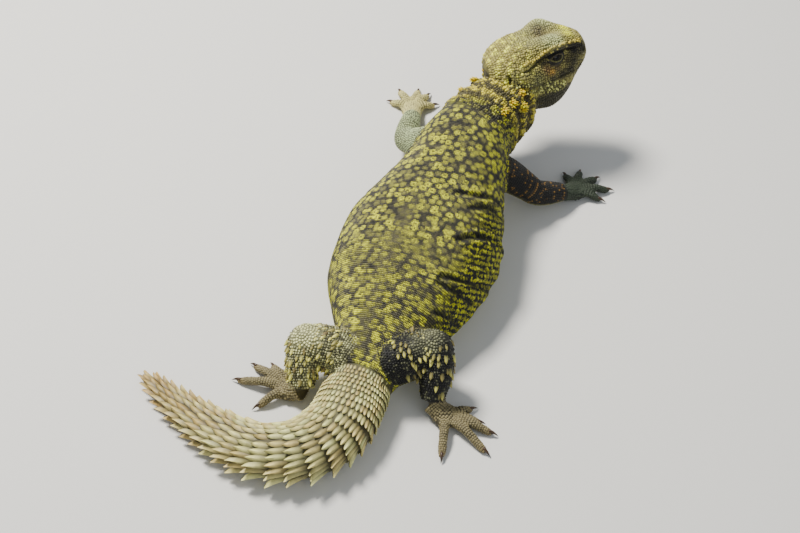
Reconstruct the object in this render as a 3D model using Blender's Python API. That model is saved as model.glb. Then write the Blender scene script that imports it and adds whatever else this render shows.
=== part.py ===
"""A life-size uromastyx, at rest on a flat floor with its head raised and turned to its right.

The body is one loft along the spine, from the tail tip to the neck, parted into lengths by thin gaps.
The head, the limbs and the feet are lofts of their own, trimmed to the surface that they grow from.
Lengths in this file are millimetres, in a frame with +Y towards the head, +X to the animal's right and
+Z up from the floor. MM turns them into Blender's metres when a mesh is made.
"""
import math
import random

import bmesh
import bpy
import numpy as np
from mathutils import Matrix, Vector
from mathutils.bvhtree import BVHTree

MM = 0.001
GAP = 0.3
FLOOR = 0.0
ROOT_SINK = 1.4
random.seed(41)

TRUNK_HALF_WIDTH = 45.0
BACK_HEIGHT = 52.0
HEAD_LENGTH = 52.3
HEAD_HALF_WIDTH = 19.5
TAIL_HALF_WIDTH = 17.5
EYE_RADIUS = 4.2

# The spine, from the sacrum forwards: centre x, y, z, half width, height above and depth below the centre
TRUNK = [
    (0.0, -8.0, 14.0, 0.36 * TRUNK_HALF_WIDTH, 12.5, 14.4),
    (0.0, 2.0, 15.0, 0.44 * TRUNK_HALF_WIDTH, 15.5, 15.4),
    (0.0, 15.0, 15.5, 0.54 * TRUNK_HALF_WIDTH, 20.0, 16.0),
    (-1.5, 34.0, 16.0, 0.75 * TRUNK_HALF_WIDTH, 26.5, 16.6),
    (-3.5, 55.0, 17.0, 0.93 * TRUNK_HALF_WIDTH, 31.5, 17.6),
    (-4.0, 84.0, 19.0, TRUNK_HALF_WIDTH, BACK_HEIGHT - 19.0, 19.6),
    (-3.5, 108.0, 23.0, 0.86 * TRUNK_HALF_WIDTH, 32.5, 21.6),
    (-3.5, 130.0, 29.0, 0.68 * TRUNK_HALF_WIDTH, 29.5, 23.0),
    (-4.0, 148.0, 35.0, 0.59 * TRUNK_HALF_WIDTH, 26.5, 24.0),
    (-3.0, 162.0, 40.0, 0.49 * TRUNK_HALF_WIDTH, 22.8, 24.5),
]
NECK = [
    (-3.0, 162.0, 40.0, 0.49 * TRUNK_HALF_WIDTH, 22.8, 24.5),
    (0.5, 173.0, 43.5, 20.3, 18.6, 26.0),
    (5.0, 183.5, 47.5, 17.8, 15.5, 28.0),
    (10.0, 192.0, 51.5, 16.0, 13.5, 27.0),
    (15.5, 199.0, 54.5, 11.0, 8.0, 18.0),
]
TAIL = [
    (0.0, -8.0, 14.0, 0.36 * TRUNK_HALF_WIDTH, 12.5, 14.4),
    (0.5, -21.0, 13.0, TAIL_HALF_WIDTH, 12.2, 13.2),
    (0.0, -38.0, 12.2, 1.01 * TAIL_HALF_WIDTH, 11.8, 12.4),
    (-6.5, -53.0, 11.4, 0.97 * TAIL_HALF_WIDTH, 11.0, 11.6),
    (-19.5, -62.5, 10.4, 0.88 * TAIL_HALF_WIDTH, 10.0, 10.6),
    (-34.5, -65.5, 9.3, 0.77 * TAIL_HALF_WIDTH, 8.8, 9.5),
    (-51.0, -64.0, 8.0, 0.64 * TAIL_HALF_WIDTH, 7.5, 8.2),
    (-67.0, -60.0, 6.7, 0.52 * TAIL_HALF_WIDTH, 6.2, 6.9),
    (-85.0, -53.5, 5.2, 0.38 * TAIL_HALF_WIDTH, 4.8, 5.4),
    (-102.0, -46.0, 3.6, 0.21 * TAIL_HALF_WIDTH, 3.2, 3.8),
    (-107.5, -43.4, 2.8, 0.08 * TAIL_HALF_WIDTH, 1.4, 1.8),
]
WHORLS = 20
PLATE_WIDTH = 4.3
TAIL_PARTS = ("tail_root", "tail_fore", "tail_middle", "tail_end")
WHORLS_A_PART = (5, 5, 5, 5)

# The head in its own frame: y forwards from the occiput, centre z, half width, height, depth
HEAD_AT = Vector((-2.5, 196.0, 63.0))
HEAD_YAW, HEAD_PITCH, HEAD_ROLL = 54.0, 5.0, -11.0
HEAD = [
    (-8.0, -3.0, 0.26 * HEAD_HALF_WIDTH, 4.0, 6.0),
    (-5.5, -3.0, 0.58 * HEAD_HALF_WIDTH, 8.0, 13.0),
    (-1.0, -2.5, 0.82 * HEAD_HALF_WIDTH, 11.5, 20.0),
    (5.0, -2.0, 0.95 * HEAD_HALF_WIDTH, 13.8, 25.0),
    (12.0, -1.5, HEAD_HALF_WIDTH, 15.2, 29.0),
    (20.0, -1.0, 0.94 * HEAD_HALF_WIDTH, 15.6, 32.6),
    (27.0, -0.5, 0.85 * HEAD_HALF_WIDTH, 14.8, 34.0),
    (33.0, -0.5, 0.77 * HEAD_HALF_WIDTH, 13.6, 31.6),
    (39.0, -0.5, 0.68 * HEAD_HALF_WIDTH, 12.0, 25.2),
    (44.3, -0.6, 0.58 * HEAD_HALF_WIDTH, 9.9, 15.2),
    (48.5, -0.9, 0.45 * HEAD_HALF_WIDTH, 7.5, 8.6),
    (51.1, -1.2, 0.28 * HEAD_HALF_WIDTH, 4.8, 4.4),
    (HEAD_LENGTH, -1.4, 0.10 * HEAD_HALF_WIDTH, 1.7, 1.4),
]
# Swellings and hollows of the head: place on the right side, radius and height, each also on the left
HEAD_RELIEF = {
    "brow dome": ((10.5, 28.0, 13.0), 7.2, 5.9),
    "brow ridge": ((13.0, 33.0, 9.5), 4.5, 1.6),
    "temple hollow": ((16.5, 18.0, 6.5), 5.5, -1.4),
    "jowl": ((18.0, 11.0, -8.0), 9.0, 1.8),
    "cheek": ((15.5, 27.0, -4.5), 4.5, 1.2),
    "lip": ((10.5, 38.0, -7.5), 6.0, 0.9),
    "brow front": ((8.0, 36.5, 12.5), 5.6, 2.6),
    "bridge": ((5.0, 43.0, 9.5), 5.2, 2.2),
    "nose": ((3.0, 49.0, 5.0), 4.2, 1.7),
    "crown hollow": ((0.0, 26.0, 14.0), 5.4, -4.2),
    "snout side": ((5.0, 46.5, 3.5), 4.0, 0.9),
}
EYE_AT = Vector((12.4, 30.5, 4.2))
LID_RING, LID_THICKNESS, LID_FLATTEN = 3.7, 1.15, 0.78
MOUTH_HEIGHT, MOUTH_DROP, MOUTH_RADIUS = -7.2, 2.2, 0.55
NOSTRIL_AT, NOSTRIL_RADIUS = Vector((7.6, 49.0, 2.6)), 1.0
EAR_AT, EAR_RADII = Vector((18.6, 2.5, -1.5)), (3.2, 1.5, 4.6)

# Limbs: joints with their radii, and the reach of each digit from the palm or the metatarsus
SHOULDER_RIGHT = [
    ((12, 143, 33), 11.5), ((22, 147, 29), 10.0),
    ((33, 151, 20), 8.2), ((38, 154.5, 13.5), 7.4),
]
FOREARM_RIGHT = [((38, 154.5, 13.5), 7.4), ((44, 159, 11), 7.0), ((51, 166, 8), 5.4)]
SHOULDER_LEFT = [
    ((-14, 146, 35), 11.5), ((-26, 152, 31), 10.0),
    ((-38, 160, 21), 8.2), ((-46.5, 167, 13.5), 7.4),
]
FOREARM_LEFT = [((-46.5, 167, 13.5), 7.4), ((-50, 178, 11), 7.0), ((-53.5, 193, 7.5), 5.4)]
THIGH_RIGHT = [((6, -1, 17), 12.0), ((17, 6, 22), 12.5), ((28, 13, 27.5), 10.8), ((33, 14, 29), 8.6)]
SHANK_RIGHT = [((33, 14, 29), 8.6), ((35.5, 6, 20), 9.0), ((37.5, -4, 9), 6.0)]
THIGH_LEFT = [((-6, -2, 17), 12.0), ((-17, -1, 20), 12.5), ((-29, -3.5, 24), 10.8), ((-34, -5, 25), 8.6)]
SHANK_LEFT = [((-34, -5, 25), 8.6), ((-31.5, -13, 17), 8.8), ((-27.5, -22, 8.5), 6.0)]

# Each foot: wrist or ankle, its radius, the middle of the palm, the palm's half width, and the digits' tips
DIGIT_RADIUS = 2.5
CLAW_LENGTH = 4.6
HAND_RIGHT = {
    "joint": (51, 166, 7.2), "radius": 5.4, "palm": (56.5, 174, 3.4), "half_width": 7.0,
    "tips": [(46.5, 186), (54.0, 191.5), (64.5, 190.0), (74.0, 184.0), (72.0, 174.5)],
}
HAND_LEFT = {
    "joint": (-53.5, 193, 7.0), "radius": 5.4, "palm": (-57.5, 202.5, 3.4), "half_width": 7.0,
    "tips": [(-47.0, 213.5), (-54.0, 220.0), (-61.0, 221.5), (-71.5, 217.0), (-73.0, 206.0)],
}
FOOT_RIGHT = {
    "joint": (37.5, -4, 7.6), "radius": 6.4, "palm": (46, -6.5, 3.5), "half_width": 7.6,
    "tips": [(56.5, 4.0), (63.0, -2.5), (71.5, -6.5), (72.5, -18.5), (53.0, -30.0)],
}
FOOT_LEFT = {
    "joint": (-27.5, -22, 7.6), "radius": 6.4, "palm": (-36, -21.5, 3.5), "half_width": 7.6,
    "tips": [(-43.0, -8.5), (-51.0, -9.5), (-60.0, -13.0), (-64.0, -25.0), (-47.0, -36.5)],
}


def monotone(values, at):
    """Values at 0, 1, 2... read between them on a curve that never passes its points' range."""
    values = np.asarray(values, float)
    steps = np.diff(values)
    slopes = np.zeros_like(values)
    slopes[0], slopes[-1] = steps[0], steps[-1]
    before, after = steps[:-1], steps[1:]
    same_way = before * after > 0
    slopes[1:-1][same_way] = (2 * before * after / (before + after + 1e-12))[same_way]
    i = int(min(max(math.floor(at), 0), len(values) - 2))
    f = at - i
    return float(
        (2 * f**3 - 3 * f**2 + 1) * values[i]
        + (f**3 - 2 * f**2 + f) * slopes[i]
        + (3 * f**2 - 2 * f**3) * values[i + 1]
        + (f**3 - f**2) * slopes[i + 1]
    )


def smooth(values, at):
    """Values at 0, 1, 2... read between them on a curve with an even bend, for a path in space."""
    values = np.asarray(values, float)
    i = int(min(max(math.floor(at), 0), len(values) - 2))
    f = at - i
    a, b = values[i], values[i + 1]
    before = values[i - 1] if i > 0 else 2 * a - b
    after = values[i + 2] if i + 2 < len(values) else 2 * b - a
    bend = 2 * before - 5 * a + 4 * b - after + f * (3 * (a - b) + after - before)
    return float(a + 0.5 * f * (b - before + f * bend))


def path_point(rows, at):
    return Vector([smooth([row[k] for row in rows], at) for k in range(3)])


def spine_frame(rows, at, forward_sign):
    """Centre, right, forward and up of the section at this place along the rows."""
    step = 0.02
    ahead = path_point(rows, min(at + step, len(rows) - 1))
    behind = path_point(rows, max(at - step, 0))
    forward = (ahead - behind).normalized() * forward_sign
    flat = Vector((forward.x, forward.y, forward.z * 0.6)).normalized()
    right = flat.cross(Vector((0, 0, 1))).normalized()
    return path_point(rows, at), right, flat, right.cross(flat)


def spine_sizes(rows, at):
    return [monotone([row[k] for row in rows], at) for k in (3, 4, 5)]


def rounded(angle, half_width, height, depth):
    """A point of a body section: a broad dome above and a flatter belly below."""
    c, s = math.cos(angle), math.sin(angle)
    if s >= 0:
        return half_width * math.copysign(abs(c) ** 0.92, c), height * s**0.95
    return half_width * math.copysign(abs(c) ** 0.8, c), -depth * abs(s) ** 0.72


def spine_ring(rows, at, sides, forward_sign, relief=None):
    centre, right, forward, up = spine_frame(rows, at, forward_sign)
    half_width, height, depth = spine_sizes(rows, at)
    points = []
    for k in range(sides):
        angle = 2 * math.pi * k / sides
        x, z = rounded(angle, half_width, height, depth)
        out = (right * (x / half_width) + up * (z / max(height, 1.0))).normalized()
        lift = relief(centre + right * x + up * z, angle) if relief else 0.0
        points.append(centre + right * x + up * z + out * lift)
    return points


def object_from(bm, name):
    bmesh.ops.remove_doubles(bm, verts=bm.verts, dist=1e-4)
    bmesh.ops.recalc_face_normals(bm, faces=bm.faces)
    bmesh.ops.scale(bm, vec=(MM, MM, MM), verts=bm.verts)
    mesh = bpy.data.meshes.new(name)
    bm.to_mesh(mesh)
    bm.free()
    obj = bpy.data.objects.new(name, mesh)
    bpy.context.scene.collection.objects.link(obj)
    return obj


def loft(rings):
    """A closed form through rings of equal count, with flat ends."""
    bm = bmesh.new()
    rows = [[bm.verts.new(p) for p in ring] for ring in rings]
    for a, b in zip(rows, rows[1:]):
        for k in range(len(a)):
            n = (k + 1) % len(a)
            bm.faces.new((a[k], a[n], b[n], b[k]))
    bm.faces.new(rows[0])
    bm.faces.new(rows[-1][::-1])
    return bm


def limb_rings(joints, sides, per_joint, flatten=1.0):
    """Round sections along a limb's joints, given as ((x, y, z), radius)."""
    rows = [(*centre, radius) for centre, radius in joints]
    count = (len(rows) - 1) * per_joint + 1
    places = np.linspace(0, len(rows) - 1, count)
    rings = []
    for at in places:
        centre = path_point(rows, at)
        ahead = path_point(rows, min(at + 0.05, len(rows) - 1))
        behind = path_point(rows, max(at - 0.05, 0))
        along = (ahead - behind).normalized()
        side = along.cross(Vector((0, 0, 1))).normalized()
        up = side.cross(along)
        radius = monotone([row[3] for row in rows], at)
        turns = [2 * math.pi * k / sides for k in range(sides)]
        rings.append([centre + (side * math.cos(a) + up * math.sin(a) * flatten) * radius for a in turns])
    return rings


def spike(root, tip, radius, up, sides=4, thickness=1.0):
    """A tapered scale or claw, from its root to its tip: a cone with an edge turned up as a keel."""
    bm = bmesh.new()
    length = (tip - root).length
    bmesh.ops.create_cone(bm, cap_ends=True, segments=sides, radius1=radius, radius2=0.0, depth=length)
    along = (tip - root).normalized()
    side = along.cross(up).normalized()
    turn = Matrix((side, side.cross(along), along)).transposed().to_4x4()
    flatten = Matrix.Diagonal((1.0, thickness, 1.0, 1.0))
    bmesh.ops.transform(bm, matrix=Matrix.Translation((root + tip) / 2) @ turn @ flatten, verts=bm.verts)
    return object_from(bm, "piece")


def apply_modifiers(obj):
    graph = bpy.context.evaluated_depsgraph_get()
    mesh = bpy.data.meshes.new_from_object(obj.evaluated_get(graph))
    obj.modifiers.clear()
    obj.data = mesh


def combine(obj, others, operation, solver="MANIFOLD"):
    """Joins or cuts obj with the other closed meshes in one Boolean, and removes them.

    The many small scales, and the neighbours grown by the gap, need the solver made for closed meshes.
    """
    if not others:
        return obj
    group = bpy.data.collections.new("tools")
    bpy.context.scene.collection.children.link(group)
    for other in others:
        group.objects.link(other)
    boolean = obj.modifiers.new("combine", "BOOLEAN")
    boolean.operation = operation
    boolean.solver = solver
    boolean.operand_type = "COLLECTION"
    boolean.collection = group
    bpy.context.view_layer.update()
    apply_modifiers(obj)
    for other in others:
        bpy.data.objects.remove(other)
    bpy.data.collections.remove(group)
    return obj


def keep_largest(obj):
    """Drops loose scraps and sealed hollows: only the largest closed surface stays."""
    bm = bmesh.new()
    bm.from_mesh(obj.data)
    bmesh.ops.remove_doubles(bm, verts=bm.verts, dist=2e-6)
    bm.verts.ensure_lookup_table()
    seen, shells = set(), []
    for start in bm.verts:
        if start in seen:
            continue
        shell, edge_of_search = {start}, [start]
        while edge_of_search:
            for edge in edge_of_search.pop().link_edges:
                for vert in edge.verts:
                    if vert not in shell:
                        shell.add(vert)
                        edge_of_search.append(vert)
        seen |= shell
        shells.append(shell)
    shells.sort(key=len, reverse=True)
    for shell in shells[1:]:
        bmesh.ops.delete(bm, geom=list(shell), context="VERTS")
    bm.to_mesh(obj.data)
    bm.free()


def trim(obj, point=(0, 0, FLOOR), keep=(0, 0, 1)):
    """Cuts off what lies behind a plane and closes the cut: the floor first of all, which leaves a flat."""
    bm = bmesh.new()
    bm.from_mesh(obj.data)
    geometry = bm.verts[:] + bm.edges[:] + bm.faces[:]
    bmesh.ops.bisect_plane(
        bm, geom=geometry, plane_co=Vector(point) * MM, plane_no=keep, clear_inner=True, dist=1e-7
    )
    rim = [e for e in bm.edges if e.is_boundary]
    if rim:
        bmesh.ops.holes_fill(bm, edges=rim, sides=0)
    bmesh.ops.triangulate(bm, faces=bm.faces[:])
    bmesh.ops.recalc_face_normals(bm, faces=bm.faces)
    bm.to_mesh(obj.data)
    bm.free()


def finish(obj, material):
    keep_largest(obj)
    trim(obj)
    keep_largest(obj)
    obj.data.materials.clear()
    obj.data.materials.append(material)
    obj.data.shade_smooth()
    obj.data.set_sharp_from_angle(angle=math.radians(35))
    for other in list(obj.users_collection):
        other.objects.unlink(obj)
    bpy.data.collections["uromastyx"].objects.link(obj)
    return obj


def material_of(name, colour, roughness):
    material = bpy.data.materials.new(name)
    material.use_nodes = True
    shader = material.node_tree.nodes["Principled BSDF"]
    shader.inputs["Base Color"].default_value = (*colour, 1.0)
    shader.inputs["Roughness"].default_value = roughness
    shader.inputs["Metallic"].default_value = 0.0
    return material


def flank_folds(point, angle):
    """Broad folds that slant down and forwards across the right flank, and far shallower ones on the left."""
    side = abs(math.cos(angle)) ** 3 * (1.0 if math.cos(angle) > 0 else 0.2)
    slant = point.y - 0.9 * (45 - point.z)
    fade = min(1.0, max(0.0, (slant - 15) / 20)) * min(1.0, max(0.0, (130 - slant) / 20))
    return 1.1 * side * fade * math.sin(2 * math.pi * slant / 18.0 + 0.6)


def neck_folds(point, angle):
    """Standing folds of loose skin across the sides and the throat of the neck."""
    side = max(abs(math.cos(angle)), -math.sin(angle)) ** 2
    fade = min(1.0, max(0.0, (point.y - 164) / 6))
    return 1.5 * side * fade * math.sin(2 * math.pi * (point.y + 0.25 * point.x) / 9.5)


def trunk_solid(name):
    """The trunk, a little longer than its ends, then cut square behind the neck and before the tail."""
    rows = [TAIL[1]] + TRUNK
    places = np.linspace(0.4, len(rows) - 1, 25)
    rings = [spine_ring(rows, at, 24, 1, flank_folds) for at in places]
    torso = object_from(loft(rings), name)
    point, back = tail_planes()[0]
    trim(torso, point - back * GAP / 2, -back)
    forward = spine_frame(TRUNK, len(TRUNK) - 1, 1)[2]
    trim(torso, Vector(TRUNK[-1][:3]) - forward * GAP / 2, -forward)
    return torso


def head_matrix():
    turn = (
        Matrix.Rotation(-math.radians(HEAD_YAW), 4, "Z")
        @ Matrix.Rotation(math.radians(HEAD_PITCH), 4, "X")
        @ Matrix.Rotation(math.radians(HEAD_ROLL), 4, "Y")
    )
    return Matrix.Translation(HEAD_AT) @ turn


def head_lift(point):
    lift = 0.0
    for centre, radius, height in HEAD_RELIEF.values():
        for side in (1, -1):
            away = Vector((point.x - side * centre[0], point.y - centre[1], point.z - centre[2]))
            share = height * math.exp(-away.length_squared / (radius * radius))
            lift += share * (0.5 if centre[0] == 0 else 1.0)
    return lift


def head_rings(sides, count):
    """Sections across the head, in its own frame, with the swellings and hollows set on them."""
    rings = []
    for at in np.linspace(0, len(HEAD) - 1, count):
        y, centre_z, half_width, height, depth = [monotone([row[k] for row in HEAD], at) for k in range(5)]
        ring = []
        for k in range(sides):
            angle = 2 * math.pi * (k + 0.5) / sides
            c, s = math.cos(angle), math.sin(angle)
            tall = height if s >= 0 else depth
            roundness = 0.88 if s >= 0 else 0.95
            point = Vector((half_width * math.copysign(abs(c) ** roundness, c), y, centre_z + tall * s))
            out = Vector((c / half_width, 0.0, s / tall)).normalized()
            ring.append(point + out * head_lift(point))
        rings.append(ring)
    return rings


def surface_of(obj):
    """The mesh as a tree that answers where its nearest point is, in metres."""
    bm = bmesh.new()
    bm.from_mesh(obj.data)
    tree = BVHTree.FromBMesh(bm)
    bm.free()
    return tree


def swollen(obj, distance):
    """A copy of a closed mesh, pushed outwards along its normals by this many millimetres."""
    mesh = obj.data.copy()
    bm = bmesh.new()
    bm.from_mesh(mesh)
    bm.normal_update()
    moved = [(v, v.normal * distance * MM) for v in bm.verts]
    for vert, shift in moved:
        vert.co += shift
    bm.to_mesh(mesh)
    bm.free()
    copy = bpy.data.objects.new(obj.name + "_swollen", mesh)
    bpy.context.scene.collection.objects.link(copy)
    return copy


def ball(centre, radii, segments=12, rings=8, turn=None):
    bm = bmesh.new()
    bmesh.ops.create_uvsphere(bm, u_segments=segments, v_segments=rings, radius=1.0)
    place = Matrix.Translation(centre) @ (turn or Matrix.Identity(4))
    bmesh.ops.transform(bm, matrix=place @ Matrix.Diagonal((*radii, 1.0)), verts=bm.verts)
    return object_from(bm, "piece")


def tube(points, radius, sides=8):
    """A round bar along points, as a curve with filled caps made a mesh."""
    curve = bpy.data.curves.new("groove", "CURVE")
    curve.dimensions = "3D"
    curve.bevel_depth = radius * MM
    curve.bevel_resolution = max(0, sides // 2 - 2)
    curve.use_fill_caps = True
    spline = curve.splines.new("POLY")
    spline.points.add(len(points) - 1)
    for target, point in zip(spline.points, points):
        target.co = (*(point * MM), 1.0)
    holder = bpy.data.objects.new("groove", curve)
    bpy.context.scene.collection.objects.link(holder)
    graph = bpy.context.evaluated_depsgraph_get()
    mesh = bpy.data.meshes.new_from_object(holder.evaluated_get(graph))
    bm = bmesh.new()
    bm.from_mesh(mesh)
    bmesh.ops.remove_doubles(bm, verts=bm.verts, dist=1e-6)
    bmesh.ops.recalc_face_normals(bm, faces=bm.faces)
    bm.to_mesh(mesh)
    bm.free()
    bpy.data.objects.remove(holder)
    obj = bpy.data.objects.new("piece", mesh)
    bpy.context.scene.collection.objects.link(obj)
    return obj


def lid_ring(side):
    """The swollen rim of both lids round an eye, wider than high."""
    bm = bmesh.new()
    section = [
        Vector((LID_RING + LID_THICKNESS * math.cos(a), 0, LID_THICKNESS * math.sin(a)))
        for a in np.linspace(0, 2 * math.pi, 7)[:-1]
    ]
    start = [bm.verts.new(p) for p in section]
    edges = [bm.edges.new((start[k], start[(k + 1) % len(start)])) for k in range(len(start))]
    bmesh.ops.spin(
        bm, geom=start + edges, cent=(0, 0, 0), axis=(0, 0, 1), angle=2 * math.pi, steps=16, use_merge=True
    )
    outward = Vector((side * 0.93, 0.12, 0.30)).normalized()
    across = outward.cross(Vector((0, 0, 1))).normalized()
    turn = Matrix((across, outward.cross(across) * -1, outward)).transposed().to_4x4()
    centre = Vector((side * EYE_AT.x, EYE_AT.y, EYE_AT.z)) + outward * 2.1
    squash = Matrix.Diagonal((1.0, LID_FLATTEN, 1.0, 1.0))
    bmesh.ops.transform(bm, matrix=head_matrix() @ Matrix.Translation(centre) @ turn @ squash, verts=bm.verts)
    return object_from(bm, "piece")


def mouth_groove(tree):
    """The line of the closed mouth, followed round the muzzle just inside its surface."""
    points = []
    for turn in np.linspace(-118, 118, 25):
        angle = math.radians(turn)
        height = MOUTH_HEIGHT - MOUTH_DROP * (1 - math.cos(angle)) / 2
        start = Vector((0, 26, height))
        hit = tree.ray_cast(start, Vector((math.sin(angle), math.cos(angle), 0)))[0]
        points.append(head_matrix() @ hit)
    return tube(points, MOUTH_RADIUS)


def build_head(material, eye_material):
    rings = head_rings(26, 22)
    bm = loft(rings)
    bmesh.ops.recalc_face_normals(bm, faces=bm.faces)
    tree = BVHTree.FromBMesh(bm)
    bmesh.ops.transform(bm, matrix=head_matrix(), verts=bm.verts)
    head = object_from(bm, "head")
    combine(head, [lid_ring(1), lid_ring(-1)], "UNION", "EXACT")
    cutters = [mouth_groove(tree)]
    place = head_matrix()
    socket = EYE_RADIUS + GAP * 1.4
    for side, name in ((1, "eye_right"), (-1, "eye_left")):
        mirror = Vector((side, 1, 1))
        eye_centre = place @ (EYE_AT * mirror)
        cutters.append(ball(eye_centre, (socket,) * 3, 16, 12))
        eye = ball(eye_centre, (EYE_RADIUS,) * 3, 12, 8)
        eye.name = name
        finish(eye, eye_material)
        nostril = tree.find_nearest(NOSTRIL_AT * mirror)[0]
        cutters.append(ball(place @ nostril, (NOSTRIL_RADIUS,) * 3, 8, 6))
        cutters.append(ball(place @ (EAR_AT * mirror), EAR_RADII, 10, 8, place.to_3x3().to_4x4()))
    combine(head, cutters, "DIFFERENCE", "EXACT")
    return finish(head, material)


def tuft(surface, centre, out, count, reach, size):
    """A cluster of short pointed scales that fans out from a fold of skin."""
    side = out.cross(Vector((0, 0, 1))).normalized()
    up = side.cross(out)
    pieces = []
    for k in range(count):
        turn, spread = 2.4 * k, 0.42 * math.sqrt(k)
        lean = side * math.cos(turn) * spread + up * math.sin(turn) * spread
        root = centre + lean * 2.6
        nearest, normal = surface.find_nearest(root * MM)[:2]
        root = nearest / MM - normal * ROOT_SINK
        tip = root + (out + lean * 0.45).normalized() * (reach + ROOT_SINK)
        pieces.append(spike(root, tip, size, Vector((0.1, 0.2, 1))))
    return pieces


# Tufts of pointed scales on the neck: place, the way that they point, how many
TUFTS = [
    (Vector((14, 166, 59)), Vector((0.75, -0.35, 0.55)), 7),
    (Vector((16, 174, 58)), Vector((0.83, 0.0, 0.5)), 6),
    (Vector((21, 177, 54)), Vector((0.90, 0.0, 0.4)), 5),
    (Vector((18, 182, 60)), Vector((0.75, 0.0, 0.6)), 4),
    (Vector((-14, 186, 56)), Vector((-0.9, -0.1, 0.35)), 6),
    (Vector((-18, 178, 52)), Vector((-0.9, -0.1, 0.3)), 6),
]


def build_neck(head, material):
    rings = [spine_ring(NECK, at, 22, 1, neck_folds) for at in np.linspace(0, len(NECK) - 1, 16)]
    forward = spine_frame(TRUNK, len(TRUNK) - 1, 1)[2]
    rings[0] = [p + forward * GAP / 2 for p in spine_ring(TRUNK, len(TRUNK) - 1, 22, 1)]
    neck = object_from(loft(rings), "neck")
    tree = surface_of(neck)
    pieces = []
    for centre, out, count in TUFTS:
        pieces += tuft(tree, centre, out.normalized(), count, 3.6, 1.5)
    combine(neck, pieces, "UNION")
    trim(neck, Vector(TRUNK[-1][:3]) + forward * GAP / 2, forward)
    combine(neck, [swollen(head, GAP * 1.4)], "DIFFERENCE")
    return finish(neck, material)


def clear_of(tree, point, clearance):
    """Whether a point is outside a closed surface, by counting crossings, and this far from it."""
    if tree.find_nearest(point * MM)[3] < clearance * MM:
        return False
    crossings, start, up = 0, point * MM, Vector((0.0, 0.0, 1.0))
    hit = tree.ray_cast(start, up)[0]
    while hit is not None:
        crossings += 1
        hit = tree.ray_cast(hit + up * 1e-6, up)[0]
    return crossings % 2 == 0


def tail_place(share):
    """Where a share of the tail's length lies along its rows, by arc length."""
    steps = np.linspace(0, len(TAIL) - 1, 241)
    points = [path_point(TAIL, at) for at in steps]
    lengths = np.cumsum([0.0] + [(b - a).length for a, b in zip(points, points[1:])])
    return float(np.interp(share * lengths[-1], lengths, steps)), float(lengths[-1])


def whorl_spines(tree, index, neighbours):
    """One ring of keeled plates over the top and sides of the tail, blunt above and sharp at the sides."""
    place, length = tail_place((index + 0.2) / WHORLS)
    spacing = length / WHORLS
    centre, right, forward, up = spine_frame(TAIL, place, -1)
    half_width, height, depth = spine_sizes(TAIL, place)
    grown = min(1.0, 0.35 + 0.13 * index)
    count = max(5, round(2.95 * half_width / PLATE_WIDTH))
    radius = 0.5 * 2.95 * half_width / (count - 1) * 1.12
    pieces = []
    for k in range(count):
        angle = math.radians(-15 + 210 * k / (count - 1))
        x, z = rounded(angle, half_width, height, depth)
        hit, normal = tree.find_nearest((centre + right * x + up * z) * MM)[:2]
        at_side = abs(math.cos(angle)) ** 2
        reach = spacing * (1.0 + 0.25 * grown + 0.25 * grown * at_side)
        lift = (1.2 + 2.4 * at_side) * grown * random.uniform(0.9, 1.1) * min(1.0, half_width / 9 + 0.3)
        root = hit / MM - normal * ROOT_SINK * 0.6
        tip = root - forward * reach + normal * (ROOT_SINK * 0.6 + lift)
        tip.z = max(tip.z, 0.6)
        if all(clear_of(other, p, 1.8) for other in neighbours for p in (hit / MM, tip)):
            pieces.append(spike(root, tip, radius, normal, 4, 0.62))
    return pieces


def tail_planes():
    """The planes between the lengths of the tail: a point and the way back along it."""
    shares = np.cumsum((0,) + WHORLS_A_PART) / WHORLS
    planes = []
    for share in shares:
        centre, _, forward, _ = spine_frame(TAIL, tail_place(share)[0], -1)
        planes.append((centre, -forward))
    return planes


def tail_length(index):
    """One length of the tail without its scales, a little over its planes unless it ends at the tip."""
    first = sum(WHORLS_A_PART[:index])
    last = first + WHORLS_A_PART[index]
    is_tip = last == WHORLS
    start, end = tail_place(first / WHORLS)[0], tail_place(last / WHORLS)[0]
    places = np.linspace(start, end, 8 if is_tip else 6)
    return object_from(loft([spine_ring(TAIL, at, 16, -1) for at in places]), TAIL_PARTS[index])


def clad_tail(part, index, neighbours, material):
    first = sum(WHORLS_A_PART[:index])
    tree = surface_of(part)
    pieces = []
    for whorl in range(first, first + WHORLS_A_PART[index]):
        pieces += whorl_spines(tree, whorl, neighbours)
    combine(part, pieces, "UNION")
    planes = tail_planes()
    point, back = planes[index]
    trim(part, point + back * GAP / 2, back)
    if index + 1 < len(WHORLS_A_PART):
        point, back = planes[index + 1]
        trim(part, point - back * GAP / 2, -back)
    return finish(part, material)


CONE_REACH, CONE_RADIUS, CONES_AROUND = 2.2, 1.7, 7
CONE_FROM, CONE_TO = -70, 250


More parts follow.
